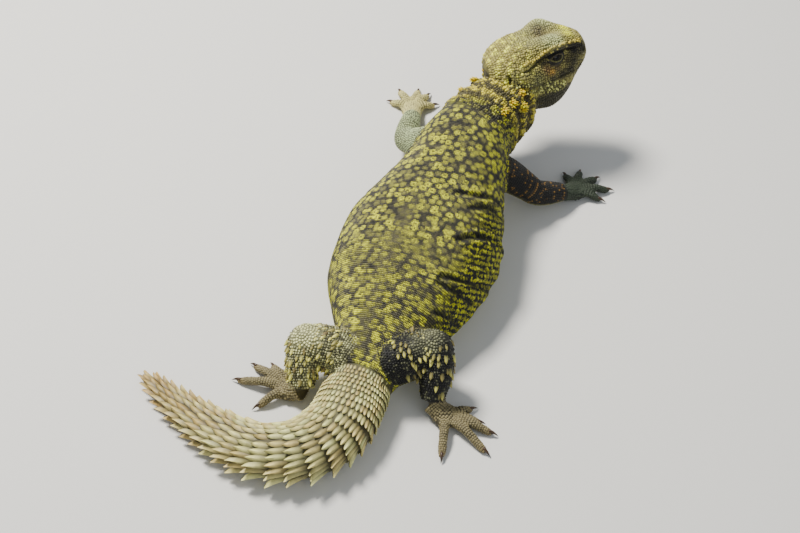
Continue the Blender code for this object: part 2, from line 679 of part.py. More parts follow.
def cone_scales(tree, neighbour, clearance, joints, rows):
    """Rows of raised, pointed scales on a limb, leaning towards its foot and clear of its neighbour."""
    path = [(*centre, radius) for centre, radius in joints]
    pieces = []
    for row in range(rows):
        at = (len(path) - 1) * (row + 0.5) / rows * 0.85
        centre = path_point(path, at)
        ahead = path_point(path, min(at + 0.1, len(path) - 1))
        behind = path_point(path, max(at - 0.1, 0))
        along = (ahead - behind).normalized()
        side = along.cross(Vector((0, 0, 1))).normalized()
        up = side.cross(along)
        for k in range(CONES_AROUND):
            turn = CONE_FROM + (CONE_TO - CONE_FROM) * (k + 0.5 * (row % 2)) / CONES_AROUND
            angle = math.radians(turn)
            out = side * math.cos(angle) + up * math.sin(angle)
            hit, normal = tree.ray_cast((centre + out * 30) * MM, -out)[:2]
            if hit is None:
                continue
            root = hit / MM - normal * ROOT_SINK
            lift = ROOT_SINK + CONE_REACH * random.uniform(0.85, 1.1)
            tip = root + normal * lift + along * CONE_REACH * 0.8
            if not (clear_of(neighbour, root, clearance) and clear_of(neighbour, tip, clearance)):
                continue
            pieces.append(spike(root, tip, CONE_RADIUS, normal))
    return pieces


def domed(rings, at_start):
    """Rings with two smaller ones past an end, which round it off."""
    end, inner = (rings[0], rings[1]) if at_start else (rings[-1], rings[-2])
    middle = sum(end, Vector()) / len(end)
    along = (middle - sum(inner, Vector()) / len(inner)).normalized()
    radius = (end[0] - middle).length
    more = [
        [middle + (p - middle) * shrink + along * radius * reach for p in end]
        for shrink, reach in ((0.86, 0.42), (0.45, 0.78))
    ]
    return more[::-1] + rings if at_start else rings + more


def build_limb(upper_name, lower_name, upper, lower, bodies, material, spiny):
    """An upper and a lower length of a limb: the upper is trimmed to the trunk, the lower to the upper."""
    sides = 10
    first = object_from(loft(domed(limb_rings(upper, sides, 3), False)), upper_name)
    second = object_from(loft(domed(limb_rings(lower, sides, 4), True)), lower_name)
    combine(second, [swollen(first, GAP * 2.2)], "DIFFERENCE")
    if spiny:
        trees = surface_of(first), surface_of(second)
        combine(first, cone_scales(trees[0], trees[1], 4.2, upper[1:], 3), "UNION")
        combine(second, cone_scales(trees[1], trees[0], 5.8, lower, 4), "UNION")
    for part in (first, second):
        for body in bodies:
            combine(part, [swollen(body, GAP * 1.2)], "DIFFERENCE")
    return finish(first, material), finish(second, material)


def build_foot(name, plan, limb, material):
    """A palm and five clawed digits, fused, with a short cuff that meets the limb above it."""
    joint, palm = Vector(plan["joint"]), Vector(plan["palm"])
    half_width = plan["half_width"]
    forward = Vector((palm.x - joint.x, palm.y - joint.y, 0)).normalized()
    tips = [Vector((*tip, 0)) for tip in plan["tips"]]
    middle = sum(((t - palm).normalized() for t in tips), Vector()) / len(tips)
    forward = Vector((middle.x, middle.y, 0)).normalized()
    start = (joint, plan["radius"])
    pad = [start, (joint.lerp(palm, 0.6), 5.6), (palm + forward * 3.5, 4.2)]
    mesh = loft(limb_rings(pad, 12, 2, 0.82))
    foot = object_from(mesh, name)
    pieces = [ball(palm, (half_width, half_width, 3.9), 12, 8)]
    for tip in tips:
        ground = Vector((palm.x, palm.y, 0))
        away = (tip - ground).normalized()
        reach = (tip - ground).length
        base = ground + away * half_width * 0.35
        radius = DIGIT_RADIUS * (0.92 if reach < 16 else 1.0)
        arch = 1.2 + 0.05 * reach
        joints = [
            ((base.x, base.y, radius + 0.8), radius * 1.12),
            ((*(base.lerp(tip, 0.45)).xy, radius + arch), radius),
            ((*(base.lerp(tip, 0.85)).xy, radius - 0.4), radius * 0.92),
            ((*tip.xy, radius * 0.55), radius * 0.6),
        ]
        pieces.append(object_from(loft(limb_rings(joints, 6, 2)), "piece"))
        claw_root = Vector((*(tip - away * 1.6).xy, radius * 1.0))
        claw_tip = Vector((*(tip + away * CLAW_LENGTH * 0.8).xy, 0.5))
        pieces.append(spike(claw_root, claw_tip, 1.25, Vector((0, 0, 1)), 6))
    combine(foot, pieces, "UNION")
    combine(foot, [swollen(limb, GAP * 2.0)], "DIFFERENCE")
    return finish(foot, material)


def settle_on_origin():
    """Moves the whole model so that the origin is the middle of its footprint, at the floor."""
    corners = [v.co for o in bpy.data.collections["uromastyx"].objects for v in o.data.vertices]
    low = Vector([min(c[k] for c in corners) for k in range(3)])
    high = Vector([max(c[k] for c in corners) for k in range(3)])
    shift = Vector((-(low.x + high.x) / 2, -(low.y + high.y) / 2, -low.z))
    for obj in bpy.data.collections["uromastyx"].objects:
        obj.data.transform(Matrix.Translation(shift))
    return shift


def build():
    for obj in list(bpy.data.objects):
        bpy.data.objects.remove(obj)
    group = bpy.data.collections.new("uromastyx")
    bpy.context.scene.collection.children.link(group)
    hide = material_of("hide", (0.34, 0.31, 0.12), 0.62)
    head_hide = material_of("head_hide", (0.44, 0.38, 0.13), 0.58)
    tail_hide = material_of("tail_hide", (0.52, 0.44, 0.30), 0.55)
    limb_hide = material_of("limb_hide", (0.33, 0.34, 0.30), 0.60)
    eye = material_of("eye", (0.02, 0.015, 0.01), 0.08)

    torso = trunk_solid("torso")
    head = build_head(head_hide, eye)
    build_neck(head, hide)
    tail = [tail_length(index) for index in range(len(TAIL_PARTS))]
    limbs = [
        ("upper_arm_right", "forearm_right", "hand_right", SHOULDER_RIGHT, FOREARM_RIGHT, HAND_RIGHT),
        ("upper_arm_left", "forearm_left", "hand_left", SHOULDER_LEFT, FOREARM_LEFT, HAND_LEFT),
        ("thigh_right", "shank_right", "foot_right", THIGH_RIGHT, SHANK_RIGHT, FOOT_RIGHT),
        ("thigh_left", "shank_left", "foot_left", THIGH_LEFT, SHANK_LEFT, FOOT_LEFT),
    ]
    beside_tail = []
    for upper_name, lower_name, foot_name, upper, lower, plan in limbs:
        hind = upper_name.startswith("thigh")
        bodies = [torso, tail[0]] if hind else [torso]
        parts = build_limb(upper_name, lower_name, upper, lower, bodies, limb_hide, hind)
        build_foot(foot_name, plan, parts[1], limb_hide)
        if hind:
            beside_tail += [surface_of(part) for part in parts]
    for index, part in enumerate(tail):
        clad_tail(part, index, beside_tail, tail_hide)
    finish(torso, hide)
    settle_on_origin()


build()
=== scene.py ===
import math

import bmesh
import bpy
import numpy as np
from mathutils import Matrix, Vector, kdtree
from mathutils.bvhtree import BVHTree


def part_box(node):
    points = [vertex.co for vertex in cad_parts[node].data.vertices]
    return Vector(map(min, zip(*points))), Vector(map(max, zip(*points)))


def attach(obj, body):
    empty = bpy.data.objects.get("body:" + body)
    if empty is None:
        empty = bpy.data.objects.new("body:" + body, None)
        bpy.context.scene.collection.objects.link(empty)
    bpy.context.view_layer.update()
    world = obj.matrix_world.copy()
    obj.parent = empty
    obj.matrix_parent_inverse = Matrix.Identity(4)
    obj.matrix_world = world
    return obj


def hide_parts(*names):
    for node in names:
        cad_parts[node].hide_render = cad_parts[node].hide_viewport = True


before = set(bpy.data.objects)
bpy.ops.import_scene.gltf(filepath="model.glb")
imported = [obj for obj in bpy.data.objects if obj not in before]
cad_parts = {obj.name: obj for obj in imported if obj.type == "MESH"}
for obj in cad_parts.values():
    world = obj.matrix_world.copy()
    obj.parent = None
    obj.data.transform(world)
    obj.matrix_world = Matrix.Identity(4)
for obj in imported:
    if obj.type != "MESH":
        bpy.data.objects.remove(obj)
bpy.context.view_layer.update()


# Trunk, neck and core of the tail. The flesh is one soft body from the nape to the tip of the tail, wide
# and flat in the trunk, with a flat belly on the floor and loose folds of hide across its lower flanks.
# Each row gives the middle of a section in millimetres, its half width, its height and its depth.
TRUNK_HALF_WIDTH = 45.0
TAIL_HALF_WIDTH = 17.5
TRUNK = [
    (0, -8, 14, 0.36 * TRUNK_HALF_WIDTH, 12.5, 14.4),
    (0, 2, 15, 0.44 * TRUNK_HALF_WIDTH, 15.5, 15.4),
    (0, 15, 15.5, 0.54 * TRUNK_HALF_WIDTH, 20, 16),
    (-1.5, 34, 16, 0.75 * TRUNK_HALF_WIDTH, 26.5, 16.6),
    (-3.5, 55, 17, 0.93 * TRUNK_HALF_WIDTH, 31.5, 17.6),
    (-4, 84, 19, TRUNK_HALF_WIDTH, 33, 19.6),
    (-3.5, 108, 23, 0.86 * TRUNK_HALF_WIDTH, 32.5, 21.6),
    (-3.5, 130, 29, 0.68 * TRUNK_HALF_WIDTH, 29.5, 23),
    (-4, 148, 35, 0.59 * TRUNK_HALF_WIDTH, 26.5, 24),
    (-3, 162, 40, 0.49 * TRUNK_HALF_WIDTH, 22.8, 24.5),
]
NECK = [TRUNK[-1], (0.5, 173, 43.5, 20.3, 18.6, 26), (5, 183.5, 47.5, 17.8, 15.5, 28),
        (10, 192, 51.5, 16, 13.5, 27), (15.5, 199, 54.5, 11, 8, 18)]
TAIL = [
    TRUNK[0],
    (0.5, -21, 13, TAIL_HALF_WIDTH, 12.2, 13.2),
    (0, -38, 12.2, 1.01 * TAIL_HALF_WIDTH, 11.8, 12.4),
    (-6.5, -53, 11.4, 0.97 * TAIL_HALF_WIDTH, 11, 11.6),
    (-19.5, -62.5, 10.4, 0.88 * TAIL_HALF_WIDTH, 10, 10.6),
    (-34.5, -65.5, 9.3, 0.77 * TAIL_HALF_WIDTH, 8.8, 9.5),
    (-51, -64, 8, 0.64 * TAIL_HALF_WIDTH, 7.5, 8.2),
    (-67, -60, 6.7, 0.52 * TAIL_HALF_WIDTH, 6.2, 6.9),
    (-85, -53.5, 5.2, 0.38 * TAIL_HALF_WIDTH, 4.8, 5.4),
    (-102, -46, 3.6, 0.21 * TAIL_HALF_WIDTH, 3.2, 3.8),
    (-107.5, -43.4, 2.8, 0.08 * TAIL_HALF_WIDTH, 1.4, 1.8),
]
COAT_DEPTH = 0.35
FOLD_SPACING, RIDGE_SPACING, NECK_FOLD_SPACING = 18.0, 4.2, 9.5
# Creases of the hide: points down the right flank from the back, then depth and width
CREASES = [
    ((20.3, 73.6, 46.4), (27.2, 82.6, 43.3), (36, 90.9, 34.8), (41, 96, 22), 3.0, 1.6),
    ((9, 99.6, 53.1), (21, 106.6, 48.8), (28.5, 115.7, 37.7), (31, 121, 24), 2.3, 1.4),
    ((19.2, 95.8, 49.1), (27.4, 105.3, 43.2), (33, 110, 33), 1.8, 1.5),
    ((20, 49.8, 42.2), (29.3, 55.4, 36.4), (38.9, 65.6, 25), (43, 70, 14), 2.4, 1.4),
    ((19.8, 46.3, 41), (30.3, 48.7, 33.5), (37, 54, 22), 1.6, 1.2),
    ((23.9, 33.3, 32.8), (31.5, 38.7, 23.8), (35, 43, 13), 1.8, 1.3),
    ((21.3, 83, 46.8), (28.2, 90.7, 43.6), (35, 97, 36), 1.2, 1.0),
    ((10.2, 116, 54.4), (17.7, 115.1, 50.5), (23.3, 116.4, 45.2), 1.1, 1.0),
    ((28, 64.5, 40.6), (34.9, 70.5, 35), (41, 77, 22), 1.3, 1.0),
    ((14, 14, 34), (22, 20, 29), (27, 26, 18), 1.2, 1.0),
]


def unit(vectors):
    return vectors / np.maximum(np.linalg.norm(vectors, axis=-1, keepdims=True), 1e-9)


def fade(values, low, high):
    """0 below low, 1 above high and an even slope between them."""
    share = np.clip((np.asarray(values, float) - low) / (high - low), 0.0, 1.0)
    return share * share * (3 - 2 * share)


def bell(values, middle, width):
    """1 in the middle, falling off evenly on both sides of it."""
    return np.exp(-(((values - middle) / width) ** 2))


def monotone(values, at):
    """Sizes given at 0, 1, 2... read between them on a curve that never passes their range."""
    values, at = np.asarray(values, float), np.asarray(at, float)
    steps = np.diff(values)
    slopes = np.zeros_like(values)
    slopes[0], slopes[-1] = steps[0], steps[-1]
    before, after = steps[:-1], steps[1:]
    same_way = before * after > 0
    slopes[1:-1][same_way] = (2 * before * after / (before + after + 1e-12))[same_way]
    i = np.clip(np.floor(at).astype(int), 0, len(values) - 2)
    f = at - i
    start = (2 * f**3 - 3 * f**2 + 1) * values[i] + (f**3 - 2 * f**2 + f) * slopes[i]
    return start + (3 * f**2 - 2 * f**3) * values[i + 1] + (f**3 - f**2) * slopes[i + 1]


def path(rows, at):
    """The middles of the rows joined by an even curve."""
    middles, at = np.array([row[:3] for row in rows], float), np.asarray(at, float)
    padded = np.vstack([2 * middles[0] - middles[1], middles, 2 * middles[-1] - middles[-2]])
    i = np.clip(np.floor(at).astype(int), 0, len(middles) - 2)
    f = (at - i)[..., None]
    before, a, b, after = padded[i], padded[i + 1], padded[i + 2], padded[i + 3]
    bend = 2 * before - 5 * a + 4 * b - after + f * (3 * (a - b) + after - before)
    return a + 0.5 * f * (b - before + f * bend)


def same_shape(at, angle):
    return np.broadcast_arrays(np.asarray(at, float), np.asarray(angle, float))


def spine_surface(rows, forward_sign, relief=None):
    """The body's surface: a place along the rows and an angle round it give a point."""
    last = len(rows) - 1

    def surface(at, angle):
        at, angle = same_shape(at, angle)
        ahead, behind = path(rows, np.minimum(at + 0.02, last)), path(rows, np.maximum(at - 0.02, 0))
        flat = unit(unit(ahead - behind) * forward_sign * (1.0, 1.0, 0.6))
        right = unit(np.cross(flat, (0.0, 0.0, 1.0)))
        up = np.cross(right, flat)
        half_width, height, depth = [monotone([row[k] for row in rows], at) - COAT_DEPTH for k in (3, 4, 5)]
        c, s = np.cos(angle), np.sin(angle)
        above = s >= 0
        x = half_width * np.sign(c) * np.abs(c) ** np.where(above, 0.92, 0.8)
        z = np.where(above, height * np.abs(s) ** 0.95, -depth * np.abs(s) ** 0.72)
        points = path(rows, at) + right * x[..., None] + up * z[..., None]
        if relief:
            out = unit(right * (x / half_width)[..., None] + up * (z / np.maximum(height, 1.0))[..., None])
            points = points + out * relief(points, angle)[..., None]
        return points

    return surface


def to_line(points, corners):
    """How far each point is from a line through the corners, and the nearest place on it."""
    best, nearest = np.full(points.shape[:-1], 1e9), np.zeros(points.shape)
    for a, b in zip(corners, corners[1:]):
        a, b = np.array(a, float), np.array(b, float)
        share = np.clip((points - a) @ (b - a) / ((b - a) @ (b - a)), 0, 1)
        spot = a + share[..., None] * (b - a)
        away = np.linalg.norm(points - spot, axis=-1)
        nearest = np.where((away < best)[..., None], spot, nearest)
        best = np.minimum(away, best)
    return best, nearest


def slanted(points):
    """A measure along the flank that is the same all down a line that slants forwards, as the folds do."""
    return points[..., 1] - 0.9 * (45 - points[..., 2])


def flank_ridges(points):
    """Narrow ridges of hide, from -1 to 1, between the broad folds of the flank."""
    phase = 2 * np.pi * slanted(points) / RIDGE_SPACING + 0.9 * np.sin(points[..., 2] * 0.22)
    return np.sin(phase + 0.5 * np.sin(points[..., 1] * 0.13))


def flank_folds(points, angle):
    """Broad folds that slant down and forwards across the flanks, and narrow creases that cut into them."""
    side, slant = np.abs(np.cos(angle)), slanted(points)
    reach = fade(slant, 15, 35) * (1 - fade(slant, 110, 130))
    loose = np.where(np.cos(angle) > 0, 1.0, 0.2)
    lift = 0.5 * side**3 * reach * loose * np.sin(2 * np.pi * slant / FOLD_SPACING + 0.6)
    lift = lift + 0.5 * side**2 * reach * loose * flank_ridges(points)
    for *corners, depth, width in CREASES:
        on_left = [(-7 - x, y + 5, z) for x, y, z in corners]
        for line, share in ((corners, 1.15), (on_left, 0.2)):
            away = to_line(points, line)[0]
            lift = lift + share * depth * (0.35 * bell(away, 2.6, 1.3) - bell(away, 0, width))
    return lift


def neck_wave(points):
    """The standing folds across the neck: 1 on a ridge and -1 in a groove."""
    return np.sin(2 * np.pi * (points[..., 1] + 0.25 * points[..., 0]) / NECK_FOLD_SPACING)


def neck_folds(points, angle):
    """Standing folds of loose skin across the sides and the throat of the neck."""
    side = np.maximum(np.abs(np.cos(angle)), -np.sin(angle)) ** 2
    return 1.5 * side * fade(points[..., 1], 164, 170) * neck_wave(points)


trunk_surface = spine_surface(TRUNK, 1, flank_folds)
neck_surface = spine_surface(NECK, 1, neck_folds)
tail_surface = spine_surface(TAIL, -1)


def loft(bm, rings):
    """A closed form bridged from ring to ring, with both ends filled."""
    loops = []
    for ring in rings:
        verts = [bm.verts.new(p) for p in ring]
        loops.append([bm.edges.new((verts[k - 1], verts[k])) for k in range(len(verts))])
    for a, b in zip(loops, loops[1:]):
        bmesh.ops.bridge_loops(bm, edges=a + b)
    for end in (loops[0], loops[-1]):
        bmesh.ops.edgeloop_fill(bm, edges=end)


def rings_of(surface, first, last, count, sides):
    turns = np.linspace(0, 2 * np.pi, sides, endpoint=False)
    return [surface(at, turns) for at in np.linspace(first, last, count)]


flesh = bmesh.new()
tail_rings = rings_of(tail_surface, len(TAIL) - 1, 0, 90, 48)
trunk_rings = rings_of(trunk_surface, 0.04, len(TRUNK) - 1, 150, 96)
neck_rings = rings_of(neck_surface, 0.0, len(NECK) - 1, 50, 96)
loft(flesh, tail_rings)
loft(flesh, [tail_surface(0.3, np.linspace(0, 2 * np.pi, 96, endpoint=False))] + trunk_rings + neck_rings[1:])


# Limbs, palms and toes. The arms are round and soft, the legs stout, and each foot is a low pad with five
# short thick toes that lie on the floor. Each joint is given as ((x, y, z), radius).
ARM_RIGHT = [((12, 143, 33), 11.5), ((22, 147, 29), 10.0), ((33, 151, 20), 8.2), ((38, 154.5, 13.5), 7.4),
             ((44, 159, 11), 7.0), ((51, 166, 8), 5.4)]
ARM_LEFT = [((-14, 146, 35), 11.5), ((-26, 152, 31), 10.0), ((-38, 160, 21), 8.2), ((-46.5, 167, 13.5), 7.4),
            ((-50, 178, 11), 7.0), ((-53.5, 193, 7.5), 5.4)]
LEG_RIGHT = [((6, -1, 17), 12.0), ((17, 6, 22), 12.5), ((28, 13, 27.5), 10.8), ((33, 14, 29), 8.6),
             ((35.5, 6, 20), 9.0), ((37.5, -4, 9), 6.0)]
LEG_LEFT = [((-6, -2, 17), 12.0), ((-17, -1, 20), 12.5), ((-29, -3.5, 24), 10.8), ((-34, -5, 25), 8.6),
            ((-31.5, -13, 17), 8.8), ((-27.5, -22, 8.5), 6.0)]
DIGIT_RADIUS = 2.5
CLAW_LENGTH = 4.6
# Each foot's joint and its radius, the middle of its palm and the half width, and the tips of its toes
FEET = {
    "hand_right": ((51, 166, 7.2), 5.4, (56.5, 174, 3.4), 7.0,
                   [(46.5, 186), (54.0, 191.5), (64.5, 190.0), (74.0, 184.0), (72.0, 174.5)]),
    "hand_left": ((-53.5, 193, 7.0), 5.4, (-57.5, 202.5, 3.4), 7.0,
                  [(-47.0, 213.5), (-54.0, 220.0), (-61.0, 221.5), (-71.5, 217.0), (-73.0, 206.0)]),
    "foot_right": ((37.5, -4, 7.6), 6.4, (46, -6.5, 3.5), 7.6,
                   [(56.5, 4.0), (63.0, -2.5), (71.5, -6.5), (72.5, -18.5), (53.0, -30.0)]),
    "foot_left": ((-27.5, -22, 7.6), 6.4, (-36, -21.5, 3.5), 7.6,
                  [(-43.0, -8.5), (-51.0, -9.5), (-60.0, -13.0), (-64.0, -25.0), (-47.0, -36.5)]),
}


def limb_surface(joints, flatten=1.0, inset=0.3):
    """The surface of a round limb or toe along its joints."""
    rows = [(*centre, radius) for centre, radius in joints]
    last = len(rows) - 1

    def surface(at, angle):
        at, angle = same_shape(at, angle)
        ahead, behind = path(rows, np.minimum(at + 0.05, last)), path(rows, np.maximum(at - 0.05, 0))
        along = unit(ahead - behind)
        side = unit(np.cross(along, (0.0, 0.0, 1.0)))
        up = np.cross(side, along)
        radius = monotone([row[3] for row in rows], at) - inset
        round_it = side * np.cos(angle)[..., None] + up * (np.sin(angle) * flatten)[..., None]
        return path(rows, at) + round_it * radius[..., None]

    return surface


def rounded_off(rings):
    """Three smaller rings past the last one, which round the end off."""
    end = rings[-1]
    middle = end.mean(axis=0)
    along = unit(middle - rings[-2].mean(axis=0))
    radius = np.linalg.norm(end[0] - middle)
    return rings + [middle + (end - middle) * shrink + along * radius * reach
                    for shrink, reach in ((0.95, 0.25), (0.8, 0.52), (0.5, 0.78))]


limb_surfaces = {name: limb_surface(joints) for name, joints in
                 (("arm_right", ARM_RIGHT), ("arm_left", ARM_LEFT),
                  ("leg_right", LEG_RIGHT), ("leg_left", LEG_LEFT))}
for surface in limb_surfaces.values():
    loft(flesh, rings_of(surface, 0, 5, 36, 32))

digits, claw_paths, palm_surfaces = {}, [], {}
for foot, (joint, radius, palm, half_width, tips) in FEET.items():
    joint, palm = np.array(joint, float), np.array(palm, float)
    ground = np.array((palm[0], palm[1], 0.0))
    tips = [np.array((*tip, 0.0)) for tip in tips]
    forward = unit(sum(unit(tip - palm) for tip in tips) * (1, 1, 0))
    wrist = joint + (palm - joint) * 0.6
    palm_surfaces[foot] = limb_surface([(joint, radius), (wrist, 5.6), (palm + forward * 3.5, 4.2)], 0.82)
    loft(flesh, rings_of(palm_surfaces[foot], 0, 2, 14, 24))
    shape = Matrix.Translation(palm) @ Matrix.Diagonal((half_width - 0.3, half_width - 0.3, 3.7, 1.0))
    bmesh.ops.create_uvsphere(flesh, u_segments=32, v_segments=20, radius=1.0, matrix=shape)
    for number, tip in enumerate(tips):
        away, reach = unit(tip - ground), np.linalg.norm(tip - ground)
        base = ground + away * half_width * 0.35
        thick = DIGIT_RADIUS * (0.92 if reach < 16 else 1.0)
        lift = np.array((0.0, 0.0, 1.0))
        toe = [
            (base + lift * (thick + 0.8), thick * 1.12),
            (base + (tip - base) * 0.45 + lift * (thick + 1.2 + 0.05 * reach), thick),
            (base + (tip - base) * 0.85 + lift * (thick - 0.4), thick * 0.92),
            (tip + lift * thick * 0.55, thick * 0.6),
        ]
        digits[f"{foot}_{number}"] = limb_surface(toe, 1.0, 0.25)
        loft(flesh, rounded_off(rings_of(digits[f"{foot}_{number}"], 0, 3, 18, 16)))
        claw_root, claw_tip = tip - away * 1.6 + lift * thick, tip + away * CLAW_LENGTH * 0.8 + lift * 0.5
        claw_paths.append((claw_root, claw_tip, away))


# Head. A short, high, blunt head with swollen brows, hollow temples, full jowls and a groove for the mouth.
# Its rows are in its own frame: y forwards, the middle's height, the share of the half width, the height
# and the depth.
HEAD_HALF_WIDTH = 19.5
HEAD_AT = Vector((-2.5, 196, 63))
HEAD_YAW, HEAD_PITCH, HEAD_ROLL = 54, 5, -11
HEAD = [(-8, -3, 0.26, 4, 6), (-5.5, -3, 0.58, 8, 13), (-1, -2.5, 0.82, 11.5, 20), (5, -2, 0.95, 13.8, 25),
        (12, -1.5, 1.0, 15.2, 29), (20, -1, 0.94, 15.6, 32.6), (27, -0.5, 0.85, 14.8, 34),
        (33, -0.5, 0.77, 13.6, 31.6), (39, -0.5, 0.68, 12, 25.2), (44.3, -0.6, 0.58, 9.9, 15.2),
        (48.5, -0.9, 0.45, 7.5, 8.6), (51.1, -1.2, 0.28, 4.8, 4.4), (52.3, -1.4, 0.10, 1.7, 1.4)]
# Bulges and hollows on both sides: a place on the right, how far it reaches and how high it stands
HEAD_RELIEF = [
    ((10.5, 28, 13), 7.2, 5.9), ((13, 33, 9.5), 4.5, 1.6), ((16.5, 18, 6.5), 5.5, -1.4),
    ((18, 11, -8), 9, 1.8), ((15.5, 27, -4.5), 4.5, 1.2), ((10.5, 38, -7.5), 6, 0.9),
    ((8, 36.5, 12.5), 5.6, 2.6), ((5, 43, 9.5), 5.2, 2.2), ((3, 49, 5), 4.2, 1.7),
    ((0, 26, 14), 6.4, -3.2), ((5, 46.5, 3.5), 4, 0.9), ((13.5, 38.5, 3.5), 3.4, -1.2),
    ((15.5, 23.5, 3.5), 2.8, -1.0), ((16.8, 24.5, -0.6), 2.2, 0.7), ((17, 27.6, -2.8), 1.8, 0.7),
]
# The sharp edge of the brow, from the temple over the eye to the side of the snout
BROW_EDGE = [(16.8, 12.9, 4.9), (16.2, 19.5, 7.4), (16.0, 25.5, 10.2), (15.2, 31.0, 11.6), (12.2, 37.1, 10.2),
             (9.6, 42.2, 8.6), (7.0, 46.8, 7.6)]
EYE_AT = np.array((12.4, 30.5, 4.2))
EYE_RADIUS, LID_RADIUS = 4.2, 4.75
MOUTH_HEIGHT, MOUTH_DROP, JAW_MIDDLE = -7.2, 2.2, 26
NOSTRIL_NEAR, EAR_AT = np.array((7.7, 49.3, 2.5)), np.array((18.6, 2.5, -1.5))
head_place = Matrix.Translation(HEAD_AT) @ (
    Matrix.Rotation(-math.radians(HEAD_YAW), 4, "Z")
    @ Matrix.Rotation(math.radians(HEAD_PITCH), 4, "X")
    @ Matrix.Rotation(math.radians(HEAD_ROLL), 4, "Y")
)
head_turn = np.array(head_place.to_3x3())
MM = 0.001
# How far the script's own origin lies from the frame's, in millimetres, found from the solids' right eye
low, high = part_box("eye_right")
SHIFT = np.array((low + high) / 2) / MM - np.array(head_place @ Vector(EYE_AT))


def to_body(points):
    return points @ head_turn.T + np.array(HEAD_AT)


def to_head(points):
    return (points - np.array(HEAD_AT)) @ head_turn


def folded(points):
    """Places on the head with its left side laid over the right one."""
    return np.abs(points) * (1, 0, 0) + points * (0, 1, 1)


def head_surface(at, angle):
    """The head's surface in the body's frame."""
    at, angle = same_shape(at, angle)
    y, middle, half_width, height, depth = [monotone([row[k] for row in HEAD], at) for k in range(5)]
    half_width = half_width * HEAD_HALF_WIDTH - 0.3
    c, s = np.cos(angle), np.sin(angle)
    tall = np.where(s >= 0, height, depth) - 0.3
    x = half_width * np.sign(c) * np.abs(c) ** np.where(s >= 0, 0.88, 0.95)
    points = np.stack([x, y, middle + tall * s], axis=-1)
    out = unit(np.stack([c / half_width, np.zeros_like(c), s / tall], axis=-1))
    lift = np.zeros_like(x)
    for centre, radius, amount in HEAD_RELIEF:
        for side in (1, -1):
            away = points - np.array((side * centre[0], centre[1], centre[2]))
            share = 0.5 if centre[0] == 0 else 1.0
            lift += share * amount * np.exp(-(away**2).sum(axis=-1) / radius**2)
    return to_body(points + out * lift[..., None])


head_flesh = bmesh.new()
loft(head_flesh, rings_of(head_surface, 0, len(HEAD) - 1, 90, 96))
for side in (1, -1):
    centre = Vector(to_body(EYE_AT * (side, 1, 1)))
    bmesh.ops.create_uvsphere(head_flesh, u_segments=40, v_segments=28, radius=LID_RADIUS,
                              matrix=Matrix.Translation(centre))


# The hide. One skin covers all the flesh without a seam. It is drawn over the forms above as one closed
# mesh, pressed in at the mouth, the nostrils and the ears, and opened between the lids of each eye. It is
# dry and matt between the scales, with fine pits.
BODY_VOXEL, HEAD_VOXEL = 1.27, 0.53
MOUTH_DEEP, LIP_HIGH, NOSTRIL_DEEP, EAR_DEEP, BROW_HIGH, SOCKET_DEEP = 0.85, 0.3, 1.6, 1.5, 1.15, 1.2
OPENING_HALF, EYE_FLOOR, LEAST_HEIGHT = 41, 3.5, 0.05


def in_scene(name, data):
    obj = bpy.data.objects.new(name, data)
    bpy.context.scene.collection.objects.link(obj)
    return obj


def add_object(bm, name):
    bmesh.ops.transform(bm, matrix=Matrix.Scale(MM, 4) @ Matrix.Translation(SHIFT), verts=bm.verts)
    mesh = bpy.data.meshes.new(name)
    bm.to_mesh(mesh)
    bm.free()
    return in_scene(name, mesh)


def edit_mesh(mesh, change):
    bm = bmesh.new()
    bm.from_mesh(mesh)
    change(bm)
    bm.to_mesh(mesh)
    bm.free()


def apply_modifiers(obj):
    graph = bpy.context.evaluated_depsgraph_get()
    mesh = bpy.data.meshes.new_from_object(obj.evaluated_get(graph))
    obj.modifiers.clear()
    obj.data = mesh


def drawn_over(bm, name, voxel, passes):
    """One even closed mesh over forms that pass through each other."""
    bmesh.ops.recalc_face_normals(bm, faces=bm.faces)
    obj = add_object(bm, name)
    remesh = obj.modifiers.new("skin", "REMESH")
    remesh.mode, remesh.voxel_size = "VOXEL", voxel * MM
    even = obj.modifiers.new("even", "SMOOTH")
    even.factor, even.iterations = 0.5, passes
    apply_modifiers(obj)
    return obj


def read_points(mesh):
    found = np.empty(len(mesh.vertices) * 3)
    mesh.vertices.foreach_get("co", found)
    return found.reshape(-1, 3) / MM - SHIFT


def write_points(mesh, points):
    mesh.vertices.foreach_set("co", ((points + SHIFT) * MM).ravel())
    mesh.update()


skin = drawn_over(flesh, "skin", BODY_VOXEL, 3)
head_skin = drawn_over(head_flesh, "head_skin", HEAD_VOXEL, 3)


def over_mouth(points):
    """How high each place lies over the line of the mouth, and how far round the jaw, in degrees."""
    turn = np.degrees(np.arctan2(points[:, 0], points[:, 1] - JAW_MIDDLE))
    return points[:, 2] - (MOUTH_HEIGHT - MOUTH_DROP * (1 - np.cos(np.radians(turn))) / 2), turn


def ear_oval(points, half_length, half_height):
    """Below 1 inside an upright oval round the ear."""
    return ((points[:, 1] - EAR_AT[1]) / half_length) ** 2 + ((points[:, 2] - EAR_AT[2]) / half_height) ** 2


local = to_head(read_points(head_skin.data))
by_eye = (np.linalg.norm(np.abs(local) - EYE_AT, axis=1) < 6.0) & (local[:, 1] > 20)
edit_mesh(head_skin.data, lambda bm: bmesh.ops.subdivide_edges(
    bm, edges=[edge for edge in bm.edges if all(by_eye[vert.index] for vert in edge.verts)],
    cuts=1, use_grid_fill=True))

